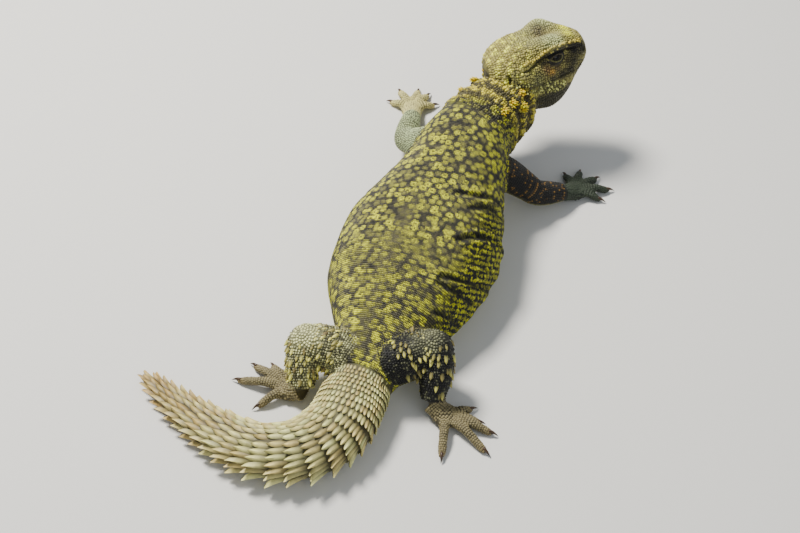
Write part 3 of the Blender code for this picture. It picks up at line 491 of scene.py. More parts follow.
local = to_head(read_points(head_skin.data))
normals = np.array([vert.normal for vert in head_skin.data.vertices]) @ head_turn
one_side = folded(local)
over, turn = over_mouth(local)
in_mouth = (1 - fade(np.abs(turn), 104, 118)) * (np.abs(over) < 4)
in_mouth = in_mouth * (np.hypot(local[:, 0], local[:, 1] - JAW_MIDDLE) > 6)
lift = in_mouth * (LIP_HIGH * bell(np.abs(over), 1.3, 0.7) - MOUTH_DEEP * bell(over, 0, 0.42))
nostril_at = one_side[np.argmin(np.linalg.norm(one_side - NOSTRIL_NEAR, axis=1))]
to_nostril = np.linalg.norm(one_side - nostril_at, axis=1)
lift += 0.5 * bell(to_nostril, 1.7, 0.7) - NOSTRIL_DEEP * bell(to_nostril, 0, 0.95)
ear, beside = ear_oval(one_side, 1.5, 3.9), one_side[:, 0] > 10
lift += beside * (0.5 * bell(ear, 1.7, 0.7) - EAR_DEEP * (1 - fade(ear, 0.25, 0.95)))
from_brow, brow_spot = to_line(one_side, BROW_EDGE)
under = one_side[:, 2] - brow_spot[:, 2]
to_snout = 1 - fade(local[:, 1], 41, 47.5)
lift += BROW_HIGH * bell(from_brow, 0, 1.25) * (local[:, 1] > 8) * to_snout
lift -= SOCKET_DEEP * bell(under, -2.4, 1.3) * (from_brow < 5) * (1 - fade(from_brow, 3.2, 5)) * to_snout
local = local + normals * lift[:, None]

LOOK = unit(np.array((0.91, 0.28, 0.30)))
LID_UP = unit(np.array((0.0, 0.0, 1.0)) - LOOK * LOOK[2])
LID_ALONG = np.cross(LID_UP, LOOK)


def lid_angles(points, side):
    """How far a place round the eye lies forwards and upwards of its middle, in degrees, and how far out."""
    away = (points - EYE_AT * (side, 1, 1)) * (side, 1, 1)
    distance = np.linalg.norm(away, axis=1)
    out, up, along = away @ LOOK, away @ LID_UP, away @ LID_ALONG
    return np.degrees(np.arctan2(along, out)), np.degrees(np.arctan2(up, out)), distance


for side in (1, -1):
    along, up, distance = lid_angles(local, side)
    opening = (along / OPENING_HALF) ** 2 + ((up - 1) / np.where(up > 1, 21, 19)) ** 2
    close = (distance < 6.3) & (np.abs(along) < 80) & (np.abs(up) < 80)
    inward = close * (1 - fade(opening, 0.72, 1.12))
    away = unit(local - EYE_AT * (side, 1, 1))
    local = local + away * ((EYE_FLOOR - distance) * inward + 0.22 * close * bell(opening, 1.45, 0.4))[:, None]
write_points(head_skin.data, to_body(local))

join = skin.modifiers.new("join", "BOOLEAN")
join.operation, join.solver, join.object = "UNION", "MANIFOLD", head_skin
apply_modifiers(skin)
bpy.data.objects.remove(head_skin)
edit_mesh(skin.data, lambda bm: bmesh.ops.remove_doubles(bm, verts=bm.verts, dist=1e-6))
skin_points = read_points(skin.data)
skin_points[:, 2] = np.maximum(skin_points[:, 2], LEAST_HEIGHT)
write_points(skin.data, skin_points)
skin.data.shade_smooth()
FLESH_NODES = ["head", "neck", "torso", "tail_root", "tail_fore", "tail_middle", "tail_end"]
FLESH_NODES += [f"{part}_{side}" for side in ("right", "left")
                for part in ("upper_arm", "forearm", "hand", "thigh", "shank", "foot")]
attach(skin, "root")
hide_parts(*FLESH_NODES)


def tree_of(points):
    tree = kdtree.KDTree(len(points))
    for number, point in enumerate(points):
        tree.insert(point, number)
    tree.balance()
    return tree


bm = bmesh.new()
bm.from_mesh(skin.data)
bm.normal_update()
skin_tree = BVHTree.FromBMesh(bm)
skin_normals = np.array([vert.normal for vert in bm.verts])
bm.free()
skin_points = read_points(skin.data)
skin_index = tree_of(skin_points)


def nearest_skin(point):
    """The nearest place on the skin, the way out of it there, and how far off it is."""
    hit = skin_tree.find_nearest(Vector((point + SHIFT) * MM))
    spot = np.array(hit[0]) / MM - SHIFT
    return spot, skin_normals[skin_index.find(spot)[1]], hit[3] / MM


def set_sockets(tree, node, values):
    """Sets a node's sockets: to a value, or joined to the output that is given."""
    for socket, value in values.items():
        if isinstance(value, bpy.types.NodeSocket):
            tree.links.new(value, node.inputs[socket])
        else:
            node.inputs[socket].default_value = value


def add_node(tree, kind, values):
    node = tree.nodes.new("ShaderNode" + kind)
    set_sockets(tree, node, values)
    return node


def darkened(tree, colour, factor, share):
    """A colour multiplied by another, by this share."""
    node = tree.nodes.new("ShaderNodeMix")
    node.data_type, node.blend_type = "RGBA", "MULTIPLY"
    set_sockets(tree, node, {"Factor": share, "A": colour, "B": factor})
    return node.outputs["Result"]


def marked_material(name):
    """A material, its nodes, the markings that its colour starts from, and the place on the object."""
    material = bpy.data.materials.new(name)
    material.use_nodes = True
    tree = material.node_tree
    attribute = tree.nodes.new("ShaderNodeAttribute")
    attribute.attribute_name = "Marking"
    return material, tree, attribute.outputs["Color"], tree.nodes.new("ShaderNodeTexCoord").outputs["Object"]


def horn_material(name, rough, grain, relief, darkest):
    """Dry satin horn or hide, with darker patches where it is worn or dusty, and fine pits."""
    material, tree, markings, place = marked_material(name)
    broad = add_node(tree, "TexNoise", {"Vector": place, "Scale": 260, "Detail": 4})
    fine = add_node(tree, "TexNoise", {"Vector": place, "Scale": grain, "Detail": 3}).outputs["Fac"]
    ramp = add_node(tree, "ValToRGB", {"Fac": broad.outputs["Fac"]})
    for stop, at, tone in zip(ramp.color_ramp.elements, (0.3, 0.62), (darkest, 1.0)):
        stop.position, stop.color = at, (tone, tone, tone, 1)
    span = add_node(tree, "MapRange", {"Value": fine, "To Min": rough - 0.1, "To Max": rough + 0.12})
    bump = add_node(tree, "Bump", {"Height": fine, "Strength": relief, "Distance": 0.0002})
    set_sockets(tree, tree.nodes["Principled BSDF"], {
        "Base Color": darkened(tree, markings, ramp.outputs["Color"], 1.0),
        "Roughness": span.outputs["Result"], "Normal": bump.outputs["Normal"], "Specular IOR Level": 0.4})
    return material


skin.data.materials.clear()
skin.data.materials.append(horn_material("bare_hide", 0.66, 2200, 0.5, 0.7))


# The scales of the trunk. The hide is paved with small smooth granules in rows round the body, each a low
# brick of horn, darker at its base as painted shade. Rings and blotches of yellow scales lie on slate grey,
# and rows of yellow beads on the right flank, on a dark ground with painted shade over it and deeper
# painted shade in its creases. Each kind of scale is one mesh, its scales set on the skin one by one.
draw = np.random.default_rng(7)
# The base ring's tone of 0.5 against 1.0 on top is painted shade in the gaps between the granules.
BRICK = (
    np.array([(-1, -1, -0.4), (1, -1, -0.4), (1, 1, -0.4), (-1, 1, -0.4),
              (-0.68, -0.62, 0.8), (0.68, -0.62, 0.8), (0.6, 0.66, 1.0), (-0.6, 0.66, 1.0)]),
    [(0, 1, 5, 4), (1, 2, 6, 5), (2, 3, 7, 6), (3, 0, 4, 7), (4, 5, 6, 7)],
    np.repeat((0.5, 1.0), 4),
)
granule_horn = horn_material("granule_horn", 0.52, 2600, 0.35, 0.78)


def paint(*levels):
    """The tone of a surface that the studio light shows as this red, green and blue, from 0 to 255.

    Each step of 26.5 is a doubling of light. The lamps are warm, so green and blue start a little stronger.
    """
    middle = sum(levels) / 3
    strong = [middle + 1.1 * (level - middle) + warm for level, warm in zip(levels, (0, 4, 8))]
    return np.array([min(0.85, 0.72 * 2 ** ((level - 205) / 26.5)) for level in strong])


def mix(a, b, share):
    return a + (b - a) * np.asarray(share)[..., None]


def lengths_along(points):
    """How long the line through the points is up to each of them."""
    return np.concatenate([[0], np.cumsum(np.linalg.norm(np.diff(points, axis=0), axis=1))])


def lay_rows(surface, first, last, pitch, width, start=-90.0, end=270.0, loose=0.12):
    """Places for scales: rows at an even pitch along a form, and even steps round it in each row.

    Each place holds where it is along the form, its angle, its length along the middle, its arc from the
    top, and the room that it has in its row.
    """
    fine = np.linspace(first, last, 300)
    turns = np.radians(np.linspace(start, end, 145))
    middles = surface(fine[:, None], turns[None, ::12]).mean(axis=1)
    lengths = lengths_along(middles)
    rows = []
    count = max(1, int(lengths[-1] / pitch))
    for row in range(count):
        length = (row + 0.5) * lengths[-1] / count
        at = np.interp(length, lengths, fine)
        arc = lengths_along(surface(at, turns))
        number = max(3, int(round(arc[-1] / width)))
        offsets = (np.arange(number) + 0.5 * (row % 2) + draw.uniform(-loose, loose, number)) % number
        spots = offsets / number * arc[-1]
        top = np.interp(math.pi / 2, turns, arc) if start < 90 else arc[-1] / 2 - 80
        step = 0.5 * loose / count
        jitter = draw.uniform(-step, step, number) * (last - first)
        rows.append(np.stack([at + jitter, np.interp(spots, arc, turns), np.full(number, length), spots - top,
                              np.full(number, arc[-1] / number)], axis=1))
    return np.concatenate(rows)


def laid_flat(ways, outward):
    """The ways turned down until they lie along the skin."""
    return unit(ways - outward * (ways * outward).sum(axis=1, keepdims=True))


def seat(surface, places, last, reach=2.2, backwards=-1):
    """Sets places on the skin: point, outward way, the way the scale points, and which ones lie on it."""
    at, angle = places[:, 0], places[:, 1]
    found = [nearest_skin(spot) for spot in surface(np.clip(at, 0, last), angle)]
    on_skin, outward, gaps = [np.array([item[k] for item in found]) for k in range(3)]
    near = surface(np.clip(at + 0.03, 0, last), angle) - surface(np.clip(at - 0.03, 0, last), angle)
    return on_skin, outward, laid_flat(near * backwards, outward), gaps < reach


def mark(mesh, colours):
    """Writes each point's colour as the markings that the materials read."""
    rgba = np.concatenate([colours, np.ones((len(colours), 1))], axis=1)
    mesh.color_attributes.new("Marking", "FLOAT_COLOR", "POINT").data.foreach_set("color", rgba.ravel())


coat_spots, coat_colours = [], []


def lay_scales(name, slot, pattern, seated, sizes, colours, where, lean=0.0, under=1.0, horn=granule_horn):
    """Many scales as one mesh: the pattern scaled, turned and coloured at each seat that is kept.

    sizes are half the width, half the length and the height. Each scale keeps a small patch of the map at
    its root's own place on the unwrapped form. The skin below takes the scales' colours times under, which
    below 1 is painted shade beneath the scales.
    """
    points, faces, tones = pattern
    spots, outward, along, sizes, colours, where = [
        np.asarray(values)[seated[3]] for values in (*seated[:3], sizes, colours, where)]
    if under:
        coat_spots.append(spots)
        coat_colours.append(colours * under)
    width, length, height = [sizes[:, k, None, None] for k in range(3)]
    across, forth, up = [points[None, :, k, None] for k in range(3)]
    raised = up + lean * np.maximum(forth, 0)
    verts = (spots[:, None] + np.cross(along, outward)[:, None] * across * width
             + along[:, None] * forth * length + outward[:, None] * raised * height).reshape(-1, 3)
    verts[:, 2] = np.maximum(verts[:, 2], 0.02)
    number = np.arange(len(spots))[:, None]
    loops = np.concatenate([np.array(face) for face in faces])
    starts = np.cumsum([0] + [len(face) for face in faces][:-1])
    every = (number * len(points) + loops[None]).ravel()
    mesh = bpy.data.meshes.new(name)
    mesh.vertices.add(len(verts))
    mesh.vertices.foreach_set("co", ((verts + SHIFT) * MM).ravel())
    mesh.loops.add(len(every))
    mesh.loops.foreach_set("vertex_index", every)
    mesh.polygons.add(len(spots) * len(starts))
    mesh.polygons.foreach_set("loop_start", (number * len(loops) + starts[None]).ravel())
    mesh.update(calc_edges=True)
    mark(mesh, (colours[:, None] * tones[None, :, None]).reshape(-1, 3))
    patch = np.clip(where, 0.004, 0.996)[:, None] + points[None, :, :2] * 0.0013
    mesh.uv_layers.new(name="OFBake").data.foreach_set("uv", patch.reshape(-1, 2)[every].ravel())
    mesh.shade_smooth()
    mesh.validate()
    mesh.materials.append(horn)
    obj = in_scene(name, mesh)
    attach(obj, "root")
    return obj


def sizes_of(places, wide, long, tall):
    """Each scale's half width, as a share of its room in the row, its half length and its height."""
    return np.stack(np.broadcast_arrays(places[:, 4] * wide, long, tall), axis=1)


def unwrapped(places, first, last, start=-90.0, end=270.0):
    turned = (places[:, 1] - math.radians(start)) / math.radians(end - start)
    return np.stack([turned, (places[:, 0] - first) / (last - first)], axis=1)


def vary(colours, amount):
    """Each scale a little lighter or darker than its neighbours."""
    return colours * (1 + draw.uniform(-amount, amount, (len(colours), 1)))


def wave_noise(points, size, seed):
    """A smooth uneven field from -1 to 1, with patches of about this size in millimetres."""
    field, ways = np.zeros(len(points)), np.random.default_rng(seed)
    for _ in range(9):
        way = unit(ways.normal(size=points.shape[1]))
        field += np.sin(points @ way * (2 * math.pi / size) * ways.uniform(0.6, 1.6) + ways.uniform(0, 6.3))
    return field / 4.0


def ring_spots(length, arc, spacing, stretch, seed):
    """How far each scale is from the middle of the nearest yellow ring, and that ring's size and kind."""
    ways = np.random.default_rng(seed)
    rows, columns = np.arange(-90, 290, spacing * 0.92), np.arange(-150, 150, spacing)
    grid = np.array([(x, y + spacing * 0.5 * (k % 2)) for k, x in enumerate(rows) for y in columns])
    turned = np.array([(0.955, 0.296), (-0.296, 0.955)])
    grid = (grid + ways.uniform(-0.28, 0.28, grid.shape) * spacing) @ turned
    grid[:, 1] *= stretch
    grid = grid[(grid[:, 0] > -30) & (grid[:, 0] < 235) & (np.abs(grid[:, 1]) < 112)]
    radius, kind = ways.uniform(0.26, 0.42, len(grid)) * spacing, ways.uniform(0, 1, len(grid))
    tree = tree_of([(x, y / stretch, 0) for x, y in grid])
    found = [tree.find((x, y / stretch, 0)) for x, y in zip(length, arc)]
    chosen = np.array([item[1] for item in found])
    return np.array([item[2] for item in found]), radius[chosen], kind[chosen]


SLATE, STONE, YELLOW = paint(74, 68, 52), paint(132, 125, 98), paint(220, 205, 70)
FLANK_YELLOW, FLANK_DARK_AND_SHADE, CREASE_SHADE = paint(218, 208, 62), paint(30, 26, 15), paint(20, 17, 11)
BELLY = paint(200, 194, 160)


def ocelli(spots, length, arc, spacing, stretch, seed):
    """Blotches in a dark net: how yellow each scale is, and how far out in the dark of the net it lies."""
    away, radius, kind = ring_spots(length, arc, spacing, stretch, seed)
    away = away + wave_noise(spots, 2.2, seed + 8) * 0.3
    is_ring = kind > 0.72
    radius = radius * np.where(is_ring, 1.15, 0.95)
    strength = np.where(is_ring, 1.0, 0.15 + 0.7 * fade(kind, 0.0, 0.7))
    inside = 1 - fade(away, radius - 0.75, radius + 0.65)
    middle = is_ring * (1 - fade(away, radius * 0.15, radius * 0.5))
    return inside * strength * (1 - 0.85 * middle), np.maximum(fade(away, radius, radius + 0.9), middle)


def creased(spots):
    """How deep in a crease of the right flank each place lies."""
    away = [to_line(spots, corners)[0] / width for *corners, depth, width in CREASES if depth > 1.5]
    fine = [to_line(spots, corners)[0] / width for *corners, depth, width in CREASES if depth <= 1.5]
    deep = 1 - fade(np.min(away, axis=0), 0.5, 1.7)
    return np.maximum(deep, 0.6 - 0.6 * fade(np.min(fine, axis=0), 0.4, 1.4))


def trunk_markings(spots, length, arc):
    low = fade(-arc - 2, 21, 37) * fade(length, 2, 22) * (1 - fade(length, 112, 134))
    under = fade(np.abs(arc), 74, 88)
    stripe = (1 - fade(np.abs(arc - 6), 2.0, 6.5)) * fade(length, 0, 20) * (1 - fade(length, 90, 120))
    front, front_net = ocelli(spots, length, arc, 4.2, 1.1, 3)
    rear, rear_net = ocelli(spots, length, arc, 3.3, 1.7, 4)
    at_rear = 1 - fade(length + 0.4 * np.abs(arc), 62, 84)
    yellow, net = front + (rear - front) * at_rear, front_net + (rear_net - front_net) * at_rear
    dappled = 0.3 * wave_noise(spots, 3.4, 6) + 0.16 * wave_noise(spots, 15, 5)
    ground = mix(STONE, SLATE, np.clip(net * (0.85 - 0.65 * stripe - 0.22 * at_rear) + dappled, 0, 1))
    patchy = np.clip(0.82 + 0.16 * wave_noise(spots, 11, 12), 0.5, 1)
    colours = mix(ground, YELLOW, yellow * (patchy - stripe * 0.4 + 0.1 * at_rear))
    uneven = 0.75 * wave_noise(spots, 5.5, 61) + draw.uniform(-0.9, 0.9, len(spots))
    beads = fade(0.75 * flank_ridges(spots) + uneven, -0.2, 0.5)
    # The right lower flank: yellow beads on a nearly black ground, dark hide and painted shade of the side
    # turned from the light.
    flank = mix(FLANK_DARK_AND_SHADE, FLANK_YELLOW, beads * np.clip(0.36 + yellow, 0, 0.95))
    colours = mix(colours, flank, np.clip(low, 0, 1))
    # Painted shade in the creases of the right flank, stronger lower down.
    colours = mix(colours, CREASE_SHADE, creased(spots) * (0.3 + 0.65 * fade(-arc, 12, 30)))
    return mix(colours, BELLY, under)


TRUNK_BANDS = [("scales_trunk_rear", 0.0, 4.6, -25.0, 205.0, 1.05, 0.8),
               ("scales_trunk_front", 4.6, 9.0, -25.0, 205.0, 1.05, 0.8),
               ("scales_belly", 0.0, 9.0, 205.0, 335.0, 1.6, 1.7)]
REAR_LENGTH, NECK_FROM = 85, 176
for name, first, last, start, end, pitch, width in TRUNK_BANDS:
    places = lay_rows(trunk_surface, first, last, pitch, width, start, end, 0.1)
    seated = seat(trunk_surface, places, len(TRUNK) - 1)
    length = places[:, 2] + (0 if first == 0 else REAR_LENGTH)
    colours = vary(trunk_markings(seated[0], length, places[:, 3]), 0.13)
    sizes = sizes_of(places, 0.49, pitch * 0.54, draw.uniform(0.28, 0.38, len(places)))
    sizes[:, 0] *= 1 - 0.2 * fade(-places[:, 3], 24, 40)
    where = unwrapped(places, first, last, start, end)
    lay_scales(name, "torso", BRICK, seated, sizes, colours, where, lean=0.35)


# The scales of the neck. Larger beads stand on the folds, each a blunt cone, grey with painted shade in the
# grooves, pale yellow on the ridges and darker as painted shade where they face down, with round tufts of
# pointed orange scales behind the jaw and along the side, each ringed with painted shade at its foot.
NECK_GREY, NECK_YELLOW, ORANGE = paint(134, 125, 86), paint(206, 197, 112), paint(226, 186, 58)
# Each tuft's place on the neck, the way it stands, how many scales it has and how high it is heaped
TUFTS = [((14, 166, 59), (0.75, -0.35, 0.55), 15, 1.5), ((16, 174, 58), (0.83, 0.0, 0.5), 15, 1.5),
         ((21, 177, 54), (0.9, 0.0, 0.4), 20, 1.5), ((18, 182, 60), (0.75, 0.0, 0.6), 10, 1.5),
         ((-12.5, 188, 57), (-0.9, -0.2, 0.35), 20, 3.4), ((-17, 180, 53), (-0.9, -0.1, 0.3), 14, 2.4)]


# A ring's tone multiplies the scale's colour: below 1 near the base it is painted shade between scales, above 1
# at a tip a painted highlight.
def six_sided(rings, tip, tones, turn=math.pi / 6):
    """The pattern of a scale: rings of six points, each of one tone, under a flat top or a tip."""
    points = [(math.cos(a) * radius, math.sin(a) * radius, height) for radius, height in rings
              for a in [math.pi / 3 * k + turn for k in range(6)]]
    top = len(points) - 6
    faces = [(j + k, j + (k + 1) % 6, j + 6 + (k + 1) % 6, j + 6 + k)
             for j in range(0, top, 6) for k in range(6)]
    if tip:
        faces += [(top + k, top + (k + 1) % 6, top + 6) for k in range(6)]
        points.append(tip)
    else:
        faces.append(tuple(range(top, top + 6)))
    return np.array(points), faces, np.repeat(tones, 6)[:len(points)]


BEAD_RINGS, BEAD_TIP = ((1.0, -0.45), (0.74, 0.62)), (0.0, 0.25, 1.15)
BEAD = six_sided(BEAD_RINGS, BEAD_TIP, (0.34, 0.9, 1.14))
SPINE = six_sided(((1.0, -0.25), (0.9, 0.2), (0.52, 0.62)), (0.0, 0.0, 1.0), (0.3, 0.6, 1.0, 1.2), 0)

places = lay_rows(neck_surface, 0.0, len(NECK) - 1.4, 1.5, 1.5, loose=0.25)
seated = seat(neck_surface, places, len(NECK) - 1)
spots, outward = seated[:2]
ridge = 0.5 + 0.5 * neck_wave(spots)
spotted = fade(wave_noise(spots, 3.8, 23) + (ridge - 0.3) * 1.2, 0.25, 0.8)
to_tuft = np.min([np.linalg.norm(spots - np.array(tuft[0]), axis=1) for tuft in TUFTS], axis=0)
merge = 1 - fade(spots[:, 1], 163, 170)
colours = mix(NECK_GREY, NECK_YELLOW, spotted * 0.9)
# Painted shade in the grooves between the folds.
colours = mix(colours, paint(46, 40, 26), (1 - fade(ridge, 0.02, 0.3)) * 0.36)
colours = mix(colours, trunk_markings(spots, places[:, 2] + NECK_FROM, places[:, 3]), merge)
# A dark ring of painted shade round the foot of each tuft.
colours = mix(colours, paint(50, 43, 26), fade(to_tuft, 2.0, 3.4) * (1 - fade(to_tuft, 4.0, 7.0)) * 0.6)
colours = mix(colours, ORANGE, (1 - fade(to_tuft, 1.6, 2.8)) * 0.5)
# Painted shade on the scales that face down.
colours = vary(mix(colours, paint(74, 68, 46), fade(-outward[:, 2], 0.0, 0.6)), 0.16)
swell = 1 + 0.45 * (draw.uniform(0, 1, len(places)) < 0.22) * (1 - merge)
sizes = sizes_of(places, 0.52, 0.8, draw.uniform(0.4, 0.75, len(places))) * swell[:, None]
lay_scales("scales_neck", "neck", BEAD, seated, sizes, colours, unwrapped(places, 0, len(NECK) - 1), lean=0.3)

roots, ways, sizes, colours = [], [], [], []
for centre, out, count, tallest in TUFTS:
    out = unit(np.array(out))
    side = unit(np.cross(out, (0, 0, 1)))
    up = np.cross(side, out)
    for k in range(count):
        turn, spread = 2.4 * k, 0.62 * math.sqrt(k)
        lean = side * math.cos(turn) * spread * 0.9 + up * math.sin(turn) * spread * 1.2
        mound = tallest * (1 - k / count)
        roots.append(nearest_skin(np.array(centre) + lean)[0] + out * mound * 0.6)
        ways.append(unit(out + lean * 0.3 + draw.normal(0, 0.06, 3)))
        sizes.append((0.7, 0.7, (1.3 + 0.5 * mound) * draw.uniform(0.85, 1.1)))
        colours.append(mix(paint(218, 204, 98), ORANGE, draw.uniform(0.1, 1.0)) * draw.uniform(0.8, 1.1))
number = np.arange(len(roots))
where = np.stack([0.1 + 0.8 * (number % 10) / 10, 0.1 + 0.08 * (number // 10)], axis=1)
fronts = unit(np.cross(ways, (0.3, 0.2, 1.0)))
lay_scales("tufts_neck", "neck", SPINE, (roots, ways, fronts, slice(None)), sizes, colours, where, under=None)


# The scales of the head. Uneven flat plates pave the crown and the snout, smaller beads the temples, cheeks
# and jaw, and fine granules the lids. The brow is a yellow ridge over a dark eye, with painted shade below
# it and over the patch before the eye.
# Each tone has a place on the right side of the head, a reach, a colour and a strength.
# The darkest tones are painted shade: in the hollow of the crown, under the brow over and behind the eye,
# before the eye, on the side of the muzzle, along the mouth and under the chin.
HEAD_TONES_AND_SHADE = [
    ((10, 30, 17), 7.0, (190, 189, 156), 0.9), ((12.5, 34, 13), 4.5, (194, 192, 158), 0.85),
    ((3.0, 26, 14), 6.0, (128, 116, 88), 0.9), ((0, 14, 14), 8, (172, 168, 128), 0.6),
    ((6.5, 19.5, 14.6), 4.5, (172, 168, 132), 0.6), ((0, 2, 8), 9, (172, 164, 110), 0.6),
    ((0, 39, 12), 5, (172, 168, 128), 0.7), ((0, 52, 3), 5, (130, 118, 70), 0.8),
    ((3.5, 41.5, 12), 3.0, (238, 220, 84), 1.0), ((8, 41, 10), 4.0, (168, 160, 108), 0.7),
    ((10.6, 43, 5.0), 4.6, (38, 31, 20), 1.0), ((8, 48.6, 3.4), 4.2, (44, 37, 22), 1.0),
    ((15.6, 33, 6.5), 4.0, (40, 32, 22), 1.0), ((13.1, 38, 1.0), 2.6, (112, 100, 58), 0.95),
    ((12.4, 42.5, -1), 3.6, (84, 76, 44), 0.95), ((16.8, 23.5, 4.4), 3.0, (56, 46, 32), 0.95),
    ((17.2, 25, -0.2), 3.0, (152, 128, 90), 0.9), ((17.2, 27.8, -2.4), 2.0, (196, 172, 100), 1.0),
    ((15.6, 31.5, -1.4), 2.4, (132, 112, 72), 0.9), ((16.6, 28.2, -6.0), 2.6, (66, 56, 40), 0.9),
    ((15, 34, -7), 3.6, (72, 62, 40), 0.95), ((13.6, 39.5, -5.5), 4.4, (76, 68, 42), 0.95),
    ((19, 19, -4), 4.2, (150, 146, 112), 0.85), ((18.8, 14, 1.5), 4.5, (164, 158, 112), 0.7),
    ((18.5, 6, 0), 5.0, (142, 138, 98), 0.7), ((17.4, 27, -9), 3.2, (126, 122, 92), 0.85),
    ((15, 28, -14.5), 3.4, (104, 98, 62), 0.85), ((18, 2, -9), 5.0, (158, 144, 88), 0.6),
    ((7, 46, -9), 5.5, (62, 54, 34), 0.95),
]
HEAD_BASE, HEAD_LIGHT, THROAT_SHADE = paint(168, 160, 108), 1.24, paint(50, 45, 27)
# The line of round beads along the right side of the lower jaw
JAW_BEADS = [(20.8, 7.5, -8.0), (20.6, 12.5, -8.0), (18.8, 19.5, -10.5), (16.2, 26.5, -13.0),
             (13.9, 33.0, -15.0)]
JAW_REACH, JAW_GAP, JAW_LIGHT = 3.9, 1.34, 1.25


def head_markings(spots):
    local = folded(to_head(spots))
    colours = np.tile(HEAD_BASE, (len(spots), 1))
    for centre, radius, tone, strength in HEAD_TONES_AND_SHADE:
        away = np.linalg.norm(local - np.array(centre), axis=1)
        colours = mix(colours, paint(*tone), strength * np.exp(-((away / radius) ** 2.4)))
    # Painted shade on the underside of the head and the throat.
    colours = mix(colours, THROAT_SHADE, 0.9 * fade(-local[:, 2], 13.5, 19))
    spotted = fade(wave_noise(spots, 4.0, 31), 0.2, 0.8) * (1 - fade(local[:, 1], 8, 24))
    colours = mix(colours, paint(216, 206, 126), spotted * 0.75)
    streaks = fade(wave_noise(local * (0.5, 2.0, 1.0), 3.4, 37), 0.1, 0.7) * fade(local[:, 2], 4, 9)
    colours = mix(colours, colours * 0.55, streaks * 0.45)
    from_brow, brow_spot = to_line(local, BROW_EDGE)
    edge = (1 - fade(from_brow, 0.9, 2.3)) * (local[:, 2] > brow_spot[:, 2] - 0.5)
    edge *= 0.25 + 0.75 * fade(wave_noise(spots, 3.2, 53), -0.6, 0.5)
    colours = mix(colours, paint(204, 192, 112), edge * 0.85)
    below = local[:, 2] < brow_spot[:, 2] - 0.6
    shaded = (1 - fade(from_brow, 2.0, 4.2)) * below * fade(local[:, 1], 15, 20)
    colours = mix(colours, paint(40, 31, 24), shaded * 0.85)
    jaw = 1 - fade(to_line(local, JAW_BEADS)[0], 3.2, 5.0)
    beaded = 0.1 + 0.8 * fade(wave_noise(spots, 3.4, 43) + draw.uniform(-0.7, 0.7, len(spots)), -0.8, 0.8)
    jaw_tone = mix(paint(106, 100, 64), paint(222, 214, 160), beaded)
    return mix(colours * HEAD_LIGHT, jaw_tone, jaw * 0.92)


def dome(middle, radius, pole):
    """A dome to close a form's end. Its first measure is the angle from the top, its second the way round."""
    pole = unit(np.array(pole, float))
    side = unit(np.cross(pole, (0.31, 0.2, 0.93)))
    front = np.cross(side, pole)

    def surface(at, angle):
        at, angle = [values[..., None] for values in same_shape(at, angle)]
        outward = np.cos(angle) * side + np.sin(angle) * front
        return middle + radius * (np.sin(at) * outward + np.cos(at) * pole)

    return surface


def dome_places(limit, radius, pitch):
    """Places for scales in an even spiral over a dome."""
    count = int(2 * math.pi * radius**2 * (1 - math.cos(limit)) / (0.87 * pitch**2))
    steps = np.arange(count) + 0.5
    at = np.arccos(1 - (1 - math.cos(limit)) * steps / count)
    return np.stack([at, 2.39996 * steps % (2 * math.pi), at * radius, at * 0, np.full(count, pitch)], axis=1)


def with_cap(rows, limit, middle, radius, pole, pitch, gap, reach):
    """Adds the scales of a dome to seated rows, where no scale of the rows stands within the gap."""
    places, spots, outward, along, kept, where = rows
    cap = dome_places(limit, radius, pitch)
    seated = seat(dome(middle, radius, pole), cap, limit + 0.1, reach, 1)
    taken = tree_of(spots[kept])
    cap_kept = seated[3] & (np.array([taken.find(spot)[2] for spot in seated[0]]) > gap)
    added = (cap, *seated[:3], cap_kept, unwrapped(cap, 0, limit, 0, 360) * (1, 0.08) + (0, 0.91))
    both = zip((places, spots, outward, along, kept, where * (1, 0.9)), added)
    return [np.concatenate(pair) for pair in both]


def thinned(spots, kept, gap):
    """Keeps places in a random order wherever none that is kept already stands within the gap."""
    chosen = []
    for number in draw.permutation(np.flatnonzero(kept)):
        if not chosen or np.linalg.norm(spots[chosen] - spots[number], axis=1).min() > gap:
            chosen.append(number)
    return np.isin(np.arange(len(spots)), chosen)


def row_stretch(surface, places):
    """How much farther apart the rows lie on the form than along its middle."""
    at, turns = places[:, :1], np.radians(np.arange(0, 360, 30))
    here = surface(at + 0.03, places[:, 1:2]) - surface(at - 0.03, places[:, 1:2])
    middle = (surface(at + 0.03, turns) - surface(at - 0.03, turns)).mean(axis=1)
    return np.clip(np.linalg.norm(here[:, 0], axis=1) / np.linalg.norm(middle, axis=1), 1, 2.2)


def jaw_part(spots):
    """Where the round beads of the jaw take the place of the flat scales."""
    return to_line(folded(to_head(spots)), JAW_BEADS)[0] < JAW_REACH


GRANULE_RINGS = ((1.0, -0.45), (0.66, 1.0))
GRANULE, PLATELET = [six_sided(GRANULE_RINGS, None, tones) for tones in ((0.55, 1.0), (0.36, 1.0))]
HEAD_BEAD = six_sided(BEAD_RINGS, BEAD_TIP, (0.36, 1.0, 1.0))

